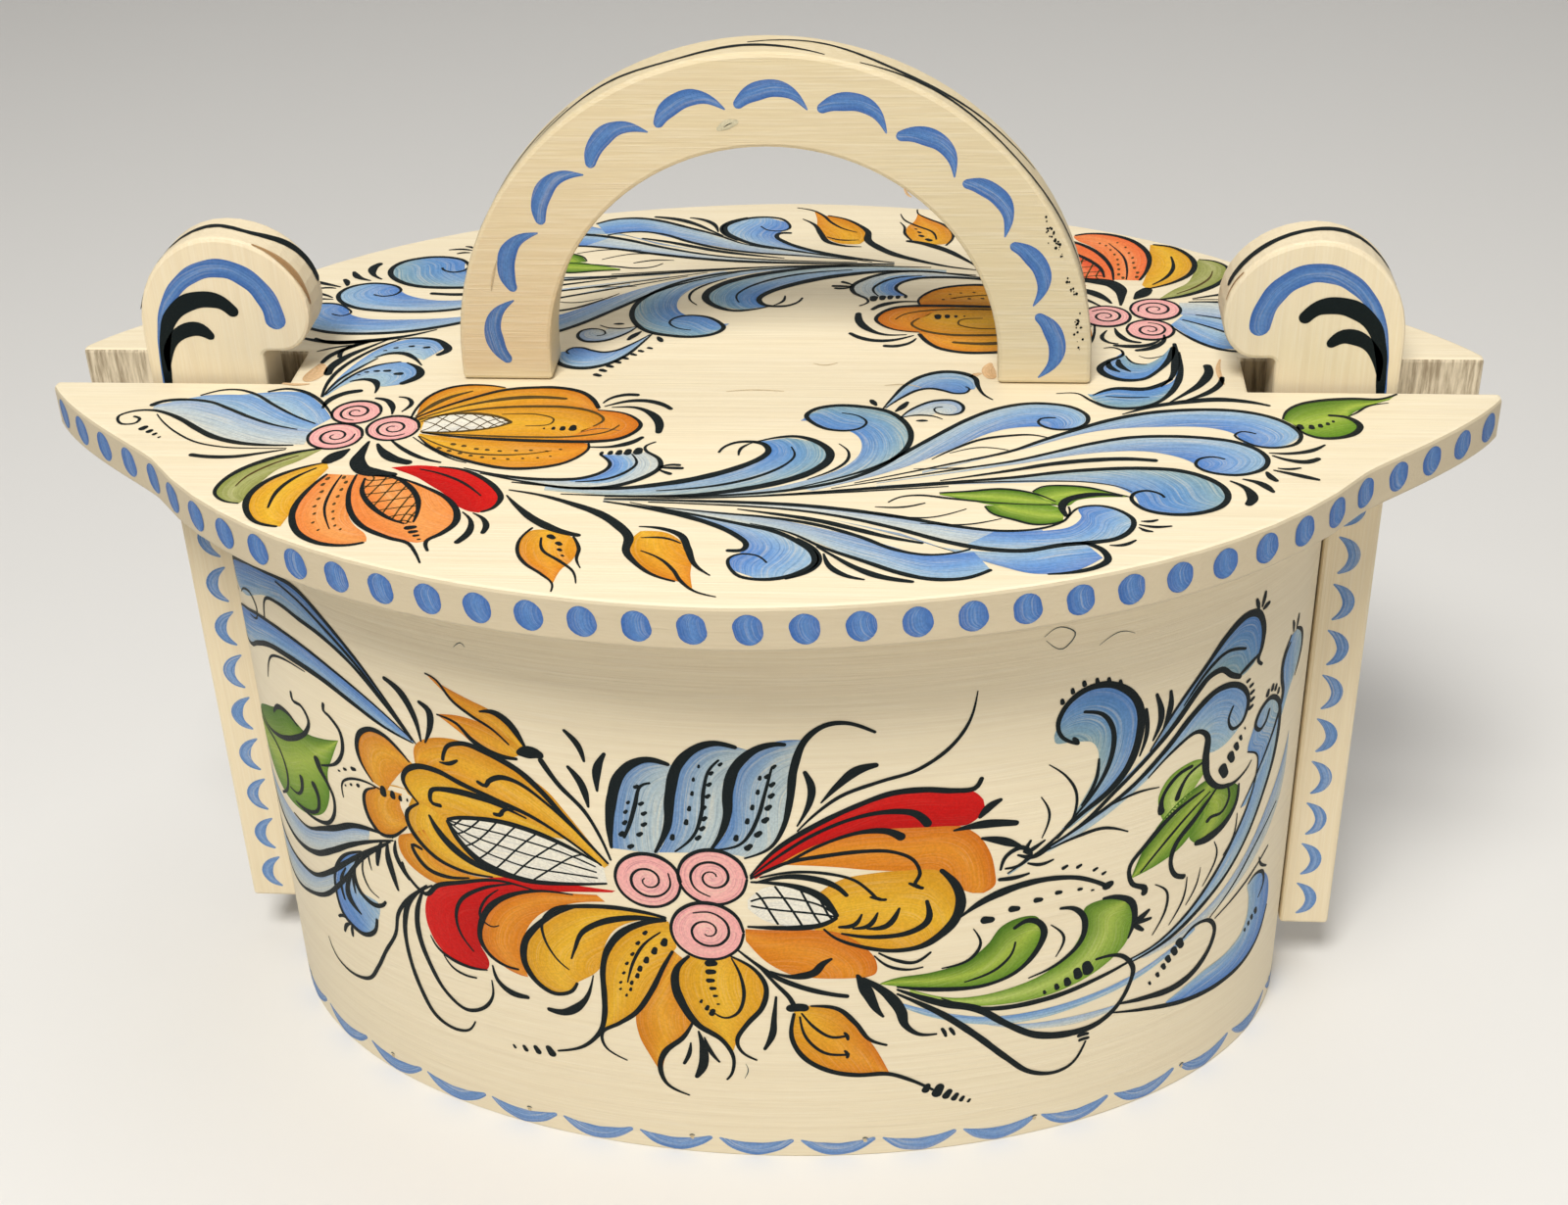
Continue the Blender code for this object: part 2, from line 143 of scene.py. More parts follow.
class Sheet:
    """Painted strokes that lie on one surface, gathered into one mesh."""

    def __init__(self, chart):
        self.chart, self.fills = chart, 0
        self.places, self.tints, self.flows, self.faces, self.size = [], [], [], [], 0

    def patch(self, grid, tints, lift):
        """A grid of painted places with one colour each."""
        rows, columns = grid.shape[:2]
        along = run_of(grid[:, columns // 2])[:, None] * np.ones(columns)
        across = np.linalg.norm(grid - grid[:, :1], axis=2)
        flow = np.stack([along, across, np.full(along.shape, float(self.size % 997))], 2)
        self.places.append(np.concatenate([grid, np.full((rows, columns, 1), lift)], 2).reshape(-1, 3))
        self.tints.append(np.broadcast_to(tints, (rows, columns, 3)).reshape(-1, 3))
        self.flows.append(flow.reshape(-1, 3))
        corner = (np.arange(rows - 1)[:, None] * columns + np.arange(columns - 1)).ravel() + self.size
        self.faces.append(np.stack([corner, corner + 1, corner + columns + 1, corner + columns], 1))
        self.size += rows * columns

    def build(self, name, body):
        places, faces = np.concatenate(self.places), np.concatenate(self.faces)
        spots, raised = (self.chart(*(places + (0, 0, extra)).T) * MM for extra in (0.0, 0.5))
        first, second = spots[faces[:, 2]] - spots[faces[:, 0]], spots[faces[:, 3]] - spots[faces[:, 1]]
        out = (np.cross(first, second) * (raised - spots)[faces[:, 0]]).sum(1)
        faces[out < 0] = faces[out < 0][:, ::-1]
        mesh = bpy.data.meshes.new(name)
        mesh.from_pydata(spots.tolist(), [], faces.tolist())
        tint = mesh.color_attributes.new("tint", "FLOAT_COLOR", "POINT")
        colours = np.concatenate([linear(np.concatenate(self.tints)), np.ones((len(places), 1))], 1)
        tint.data.foreach_set("color", colours.astype(np.float32).ravel())
        flow = mesh.attributes.new("flow", "FLOAT_VECTOR", "POINT")
        flow.data.foreach_set("vector", np.concatenate(self.flows).astype(np.float32).ravel())
        mesh.shade_smooth()
        mesh.materials.append(bpy.data.materials["rosemaling"])
        return place_piece(mesh, body, "painted_wood")


def place_piece(mesh, body, slot, *stands_for):
    piece = bpy.data.objects.new(mesh.name, mesh)
    bpy.context.collection.objects.link(piece)
    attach(piece, body)
    if stands_for:
        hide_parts(*stands_for)
    return piece


def blend(stops, share):
    """Colours at shares from the first stop to the last."""
    stops = np.array(stops, float)
    at = np.linspace(0, 1, len(stops)) if len(stops) > 1 else np.zeros(1)
    return np.stack([np.interp(share, at, stops[:, k]) for k in range(3)], -1)


def stroke(sheet, points, widths, paint="ink", lift=LINE_LIFT):
    """A brush line that swells and tapers through its widths, round at both ends."""
    curve = smooth(points)
    total = run_of(curve)[-1]
    caps = 1 - np.cos(np.linspace(0, math.pi / 2, 5))
    start, stop = (max(width / 2, 0.08) for width in (widths[0], widths[-1]))
    count = max(4, math.ceil(total / STEP))
    runs = [np.linspace(0, total, count + 1), caps * start, total - caps * stop]
    runs = np.unique(np.clip(np.concatenate(runs), 0, total).round(4))
    line = at_runs(curve, runs)
    knots = np.linspace(0, 1, len(widths))
    share = runs / total
    reach = np.minimum(knots[1], 2 * np.minimum(share, 1 - share))[:, None] * np.linspace(-0.4, 0.4, 7)
    half = np.interp(share[:, None] + reach, knots, widths).mean(1) / 2
    for left, end in ((runs, start), (total - runs, stop)):
        half = half * np.sqrt(np.clip(1 - (1 - np.clip(left / end, 0, 1)) ** 2, 0.01, 1))
    half = half * (1 + 0.03 * np.sin(runs * 0.9 + points[0][0]))
    way = np.gradient(line, axis=0)
    side = np.stack([-way[:, 1], way[:, 0]], 1) / np.maximum(np.linalg.norm(way, axis=1), 1e-9)[:, None]
    across = np.linspace(-1, 1, 3)
    grid = line[:, None] + side[:, None] * (half[:, None] * across)[..., None]
    sheet.patch(grid, blend(PAINTS[paint], (across + 1) / 2)[None], lift)


def lines(sheet, rows, paint="ink"):
    """Brush lines written as widths and a path."""
    for *widths, text in rows:
        stroke(sheet, path(text), widths, paint)


def grid_between(first, second, columns):
    """Even columns between two edges that run the same way."""
    if len(first) == len(second):
        near, far = smooth(first), smooth(second)
    else:
        near, far = (
            at_runs(edge, np.linspace(0, run_of(edge)[-1], 40)) for edge in (smooth(first), smooth(second))
        )
    share = np.linspace(0, 1, columns)[None, :, None]
    return near[:, None] * (1 - share) + far[:, None] * share


def fill(sheet, paint, first, second, fade=0.0, columns=9):
    """One or two paints between two edges, shaded across, and thinned at the start by a share."""
    grid = grid_between(path(first), path(second), columns)
    near, far = (blend(PAINTS[name], np.linspace(0, 1, columns))[None] for name in (paint * 2)[:2])
    along = np.linspace(0, 1, len(grid))[:, None, None]
    tints = near * (1 - along) + far * along
    thin = fade * np.clip(1 - np.linspace(0, 1.6, len(grid)), 0, 1)[:, None, None]
    sheet.patch(grid, tints * (1 - thin) + np.array(CREAM) * thin, FILL_LIFT + FILL_STEP * sheet.fills)
    sheet.fills += 1
    return grid


def fills(sheet, rows):
    """Painted shapes written as one paint, or two with the word to between, a fade and two edges."""
    for paint, fade, first, second in rows:
        fill(sheet, paint.split(" to "), first, second, fade)


def on_grid(grid, rows, columns):
    """Places at shares of a grid's two directions."""
    r, c = np.array(rows) * (grid.shape[0] - 1), np.array(columns) * (grid.shape[1] - 1)
    r0, c0 = np.minimum(r.astype(int), grid.shape[0] - 2), np.minimum(c.astype(int), grid.shape[1] - 2)
    dr, dc = (r - r0)[:, None], (c - c0)[:, None]
    low = grid[r0, c0] * (1 - dc) + grid[r0, c0 + 1] * dc
    high = grid[r0 + 1, c0] * (1 - dc) + grid[r0 + 1, c0 + 1] * dc
    return low * (1 - dr) + high * dr


def crosshatch(sheet, grid, count, slant, width, paint):
    """Two crossing families of thin lines within a filled seed."""
    steps = np.linspace(0, 1, 6)
    for index in range(count):
        start = index / count
        for columns in (steps, 1 - steps):
            rows = np.clip(start + slant * steps, 0, 1)
            stroke(sheet, on_grid(grid, rows, columns), (width, width), paint, NET_LIFT)


def net(sheet, grid, along, across, width, paint):
    """Thin lines along a filled seed, crossed by slanting ones."""
    steps = np.linspace(0, 1, 7)
    for share in along:
        line = on_grid(grid, 0.04 + 0.92 * steps, share + 0 * steps)
        stroke(sheet, line, (width, width), paint, NET_LIFT)
    for start in across:
        rows = np.clip(start + 0.22 * steps, 0, 1)
        stroke(sheet, on_grid(grid, rows, steps), (width, width), paint, NET_LIFT)


def dots(sheet, text, first, last, lean=(0.0, 1.0), paint="ink"):
    """A row of small dabs whose size runs from first to last."""
    spots = path(text)
    for spot, size in zip(spots, np.linspace(first, last, len(spots))):
        reach = np.array(lean) * size * 0.55
        stroke(sheet, [spot - reach, spot + reach], (size * 0.8, size * 0.5), paint)


def rose(sheet, x, y, radius, turn=0.0):
    """A round pink rose with a dark rim and a spiral."""
    angles = np.linspace(0, 2 * math.pi, 41)
    ring = np.stack([np.cos(angles), np.sin(angles)], 1)
    shares = np.array([0.02, 0.35, 0.7, 1.0])
    grid = np.array([x, y]) + radius * shares[None, :, None] * ring[:, None]
    sheet.patch(grid, blend(PAINTS["pink"], shares)[None], FILL_LIFT + FILL_STEP * sheet.fills)
    sheet.fills += 1
    rim = np.array([x, y]) + radius * ring[::4]
    stroke(sheet, rim, (0.7, 1.3, 0.7, 0.9, 0.7))
    around = turn + np.linspace(0, 3.4 * math.pi, 15)
    coil = radius * np.linspace(0.12, 0.72, 15)[:, None] * np.stack([np.cos(around), np.sin(around)], 1)
    stroke(sheet, np.array([x, y]) + coil, (0.4, 0.7, 0.8, 0.4))


def oval_table():
    """Turns from the middle of the back, and the lengths along the oval at them."""
    turns = np.linspace(0, 2 * math.pi, 2881)
    ring = np.stack([-HALF_LENGTH * np.sin(turns), HALF_WIDTH * np.cos(turns)], 1)
    return turns, run_of(ring)


OVAL_TURNS, OVAL_RUNS = oval_table()
GIRTH = OVAL_RUNS[-1]


def band_rise(along):
    """How far the outside stands off the oval, where the strip's end laps at the back."""
    along = np.mod(along, GIRTH)
    share = np.clip((along - GIRTH) / LAP_RAMP + 1, 0, 1)
    ramp = LAP_RISE * share**2 * (3 - 2 * share)
    return np.where(along < LAP_LENGTH, LAP_RISE, ramp)


def oval_place(along, out):
    turn = np.interp(np.mod(along, GIRTH), OVAL_RUNS, OVAL_TURNS)
    x, y = -HALF_LENGTH * np.sin(turn), HALF_WIDTH * np.cos(turn)
    size = np.hypot(x / HALF_LENGTH**2, y / HALF_WIDTH**2)
    return x + out * x / HALF_LENGTH**2 / size, y + out * y / HALF_WIDTH**2 / size


def band_chart(along, height, lift):
    x, y = oval_place(along, band_rise(along) + lift)
    return np.stack([x, y, height], 1)


def lid_chart(x, y, lift):
    return np.stack([x, y, LID_TOP + lift], 1)


def face_chart(side):
    """The flat front, for side -1, or back of the upright boards, in X and Z."""
    return lambda x, z, lift: np.stack([x, side * (BOARD_HALF + lift), z], 1)


def wall_chart(outline, upright):
    """The wall round an outline in X and Y, or the rim of an upright one in X and Z."""
    outline = np.asarray(outline, float)
    runs = run_of(outline)
    way = np.gradient(outline, axis=0)
    way /= np.maximum(np.linalg.norm(way, axis=1), 1e-9)[:, None]

    def chart(along, across, lift):
        spot, facing = at_runs(outline, along), at_runs_of(way, runs, along)
        x, other = spot[:, 0] + lift * facing[:, 1], spot[:, 1] - lift * facing[:, 0]
        return np.stack([x, across, other], 1) if upright else np.stack([x, other, across], 1)

    return chart


def at_runs_of(values, runs, wanted):
    return np.stack([np.interp(wanted, runs, values[:, k]) for k in (0, 1)], 1)


def bezier(points, steps):
    """Points on a cubic curve, both ends among them."""
    t = np.linspace(0, 1, steps + 1)[:, None]
    p = np.array(points, float)
    return (1 - t) ** 3 * p[0] + 3 * t * (1 - t) ** 2 * p[1] + 3 * t**2 * (1 - t) * p[2] + t**3 * p[3]


def arc(centre, radii, start, stop, steps=24):
    turn = np.radians(np.linspace(start, stop, steps + 1))
    return np.stack([centre[0] + radii[0] * np.cos(turn), centre[1] + radii[1] * np.sin(turn)], 1)


def lid_side():
    """The lid's curved front edge, from its left horn to its right one."""
    size = (LID_HALF_LENGTH, -LID_HALF_WIDTH)
    half = np.concatenate([bezier(LID_BULGE, 40), bezier(LID_FLARE, 40)[1:]]) * size
    return np.concatenate([half[::-1] * (-1, 1), half[1:]])


def head_rim(side):
    """The post head's rim over its crown, from the neck's back to the nose, for side 1 the right one."""
    flip = (side, 1)
    back = arc((CROWN_X, SHOULDER), (POST_OUTER - CROWN_X, CROWN_TOP - SHOULDER), 0, 90)
    nose = arc((CROWN_X, NOSE_Z), (CROWN_X - NOSE_X, CROWN_TOP - NOSE_Z), 90, 180)
    rim = np.concatenate([back, nose[1:]]) * flip
    return rim if side > 0 else rim[::-1]


def strip_section(along):
    """The bent side's section as out and height, with its edges eased."""
    rise = float(band_rise(along))
    low, high, ease = -BAND_WALL, rise, BAND_EASE
    corners = []
    for x, z, turns in (
        (high - ease, ease, (-90, 0)),
        (high - ease, BAND_TOP - ease, (0, 90)),
        (low + ease, BAND_TOP - ease, (90, 180)),
        (low + ease, ease, (180, 270)),
    ):
        corners.append(arc((x, z), (ease, ease), *turns, steps=4))
    return np.concatenate(corners)


def add_side():
    """The side without its brad holes, finely bent, closed where its end laps."""
    even, ramp = np.linspace(0, GIRTH, 321)[:-1], np.linspace(GIRTH - LAP_RAMP, GIRTH, 13)[:-1]
    runs = np.unique(np.concatenate([even, ramp]))
    runs = np.concatenate([runs, [GIRTH]])
    runs = np.sort(np.concatenate([runs, [LAP_LENGTH - 0.02, LAP_LENGTH + 0.02]]))[:-1]
    rings = []
    for along in runs:
        section = strip_section(along)
        x, y = oval_place(np.full(len(section), along), section[:, 0])
        rings.append(np.stack([x, y, section[:, 1]], 1))
    count, sides = len(rings), len(rings[0])
    faces = []
    for k in range(count):
        here, there = k * sides, (k + 1) % count * sides
        for s in range(sides):
            following = (s + 1) % sides
            faces.append((here + s, there + s, there + following, here + following))
    mesh = bpy.data.meshes.new("bent_side")
    mesh.from_pydata((np.concatenate(rings) * MM).tolist(), [], faces)
    flow = mesh.attributes.new("flow", "FLOAT_VECTOR", "POINT")
    values = [(a, s[1], s[0]) for a in runs for s in strip_section(a)]
    flow.data.foreach_set("vector", np.array(values, np.float32).ravel())
    tidy = bmesh.new()
    tidy.from_mesh(mesh)
    bmesh.ops.recalc_face_normals(tidy, faces=tidy.faces)
    tidy.to_mesh(mesh)
    tidy.free()
    mesh.shade_smooth()
    mesh.set_sharp_from_angle(angle=math.radians(35))
    mesh.materials.append(bpy.data.materials["side paint"])
    return place_piece(mesh, "box", "painted_wood", "side_band")


class Tree:
    """Short ways to build one material's nodes."""

    def __init__(self, name):
        self.material = bpy.data.materials.new(name)
        self.material.use_nodes = True
        self.nodes, self.links = self.material.node_tree.nodes, self.material.node_tree.links
        self.shader = self.nodes["Principled BSDF"]

    def add(self, kind, **settings):
        node = self.nodes.new(f"ShaderNode{kind}")
        for key, value in settings.items():
            setattr(node, key, value)
        return node

    def put(self, socket, value):
        """Sets a socket to a number or colour, or links an output to it."""
        if isinstance(value, bpy.types.NodeSocket):
            self.links.new(value, socket)
        else:
            socket.default_value = value

    def noise(self, place, stretch, detail=4.0, rough=0.55, offset=(0, 0, 0)):
        spread = self.add("Mapping")
        self.put(spread.inputs["Vector"], place)
        self.put(spread.inputs["Scale"], stretch)
        self.put(spread.inputs["Location"], offset)
        noise = self.add("TexNoise")
        self.put(noise.inputs["Vector"], spread.outputs["Vector"])
        self.put(noise.inputs["Scale"], 1.0)
        self.put(noise.inputs["Detail"], detail)
        self.put(noise.inputs["Roughness"], rough)
        return noise.outputs["Fac"]

    def ramp(self, value, low, high, bottom=0.0, top=1.0):
        spread = self.add("MapRange", interpolation_type="SMOOTHSTEP")
        for name, number in (("Value", value), ("From Min", low), ("From Max", high)):
            self.put(spread.inputs[name], number)
        self.put(spread.inputs["To Min"], bottom)
        self.put(spread.inputs["To Max"], top)
        return spread.outputs["Result"]

    def mix(self, share, first, second, kind="MIX"):
        mix = self.add("MixRGB", blend_type=kind)
        self.put(mix.inputs["Fac"], share)
        self.put(mix.inputs["Color1"], first)
        self.put(mix.inputs["Color2"], second)
        return mix.outputs["Color"]

    def math(self, kind, first, second=0.0):
        node = self.add("Math", operation=kind)
        self.put(node.inputs[0], first)
        self.put(node.inputs[1], second)
        return node.outputs["Value"]

    def bump(self, height, depth):
        bump = self.add("Bump")
        self.put(bump.inputs["Height"], height)
        self.put(bump.inputs["Strength"], 1.0)
        self.put(bump.inputs["Distance"], depth)
        self.put(self.shader.inputs["Normal"], bump.outputs["Normal"])

    def place(self):
        return self.add("TexCoord").outputs["Object"]

    def flow(self):
        return self.add("Attribute", attribute_name="flow").outputs["Vector"]


def rgb(colour):
    return (*linear(colour), 1.0)


def painted(name, place_of, grain, cream=CREAM, worn=(212, 192, 158), rim=None):
    """Thin cream paint over wood whose grain runs along one axis. The grain gives noise per metre or mm."""
    tree = Tree(name)
    place = place_of(tree)
    along, across = grain
    streak = tree.noise(place, along, 5.0, 0.6)
    brush = tree.noise(place, across, 3.0, 0.5, (7, 3, 5))
    cloud = tree.noise(place, tuple(min(value, min(along) * 1.4) for value in along), 3.0, 0.5, (3, 1, 2))
    base = tree.mix(tree.ramp(streak, 0.38, 0.72, 0.0, 0.24), rgb(cream), rgb(worn))
    base = tree.mix(tree.ramp(brush, 0.42, 0.7, 0.0, 0.16), base, rgb((252, 247, 233)))
    base = tree.mix(tree.ramp(cloud, 0.4, 0.75, 0.0, 0.14), base, rgb((226, 208, 176)))
    # Faces that don't face up are darkened towards the rim colour: painted shade on the edges, together
    # with their tanner, rougher paint
    if rim:
        facing = tree.add("SeparateXYZ")
        tree.put(facing.inputs["Vector"], tree.add("NewGeometry").outputs["Normal"])
        base = tree.mix(tree.ramp(facing.outputs["Z"], 0.2, 0.8, 0.7, 0.0), base, rgb(rim))
    tree.put(tree.shader.inputs["Base Color"], base)
    tree.put(tree.shader.inputs["Roughness"], tree.ramp(brush, 0.3, 0.7, 0.42, 0.58))
    height = tree.math("ADD", streak, tree.math("MULTIPLY", brush, 0.6))
    tree.bump(height, 0.00016)
    return tree.material


def add_materials():
    painted("side paint", Tree.flow, ((0.012, 0.55, 0.3), (0.05, 2.2, 1.0)))
    # The lid's edge is darkened by its rim colour: painted shade, together with the edge's tanner paint
    painted("lid paint", Tree.place, ((9, 420, 420), (40, 1900, 1900)), rim=(186, 170, 140))
    # The handle's cream is darker and yellower than the box's: painted shade on the handle
    painted("shaded handle paint", Tree.place, ((14, 380, 520), (60, 1500, 2200)), (220, 203, 164))
    painted("post paint", Tree.place, ((420, 420, 12), (1900, 1900, 50)), (234, 218, 184))
    rosemaling()
    bare("bare pine", (196, 156, 108), (158, 116, 72), (8, 300, 300))
    bare("sawn end", (226, 212, 184), (156, 140, 114), (700, 700, 60))
    bare("peg birch", (170, 130, 86), (120, 84, 50), (300, 300, 300))
    steel = Tree("dull steel")
    tree_noise = steel.noise(steel.place(), (900, 900, 900))
    steel.put(steel.shader.inputs["Base Color"], rgb((150, 148, 144)))
    steel.put(steel.shader.inputs["Metallic"], 1.0)
    steel.put(steel.shader.inputs["Roughness"], steel.ramp(tree_noise, 0.3, 0.7, 0.3, 0.5))


def bare(name, light, dark, stretch):
    tree = Tree(name)
    grain = tree.noise(tree.place(), stretch, 6.0, 0.65)
    colour = tree.mix(tree.ramp(grain, 0.35, 0.65), rgb(light), rgb(dark))
    tree.put(tree.shader.inputs["Base Color"], colour)
    tree.put(tree.shader.inputs["Roughness"], 0.75)
    tree.bump(grain, 0.0004)
    return tree.material


def rosemaling():
    """The ornament's paint: its own colour, streaked and thinned along each brush stroke."""
    tree = Tree("rosemaling")
    tint = tree.add("Attribute", attribute_name="tint").outputs["Color"]
    flow = tree.flow()
    streak = tree.noise(flow, (0.05, 2.4, 1.0), 5.0, 0.65)
    patch = tree.noise(flow, (0.06, 0.45, 1.0), 3.0, 0.55, (5, 5, 5))
    weave = tree.noise(tree.place(), (1500, 1500, 1500), 2.0, 0.6)
    grey = tree.add("RGBToBW")
    tree.put(grey.inputs["Color"], tint)
    parts = tree.add("SeparateColor")
    tree.put(parts.inputs["Color"], tint)
    cold = tree.ramp(parts.outputs["Blue"], 0.02, 0.3, 0.3, 1.0)
    cover = tree.math("MULTIPLY", tree.ramp(grey.outputs["Val"], 0.03, 0.4), cold)
    streaks, patches = tree.ramp(streak, 0.46, 0.62, 0.0, 0.42), tree.ramp(patch, 0.36, 0.62, 0.25, 1.0)
    dry = tree.math("MULTIPLY", streaks, patches)
    thin = tree.mix(tree.math("MULTIPLY", dry, cover), tint, rgb(CREAM))
    loaded = tree.math("MULTIPLY", tree.ramp(streak, 0.34, 0.5, 0.55, 0.0), cover)
    deep = tree.mix(loaded, thin, rgb((186, 186, 196)), "MULTIPLY")
    shade = tree.mix(tree.ramp(weave, 0.4, 0.6, 0.12, 0.0), deep, rgb((60, 60, 60)), "MULTIPLY")
    tree.put(tree.shader.inputs["Base Color"], shade)
    tree.bump(tree.math("ADD", weave, streak), 0.00012)
    tree.put(tree.shader.inputs["Roughness"], 0.5)
    tree.put(tree.shader.inputs["Specular IOR Level"], 0.12)
    return tree.material


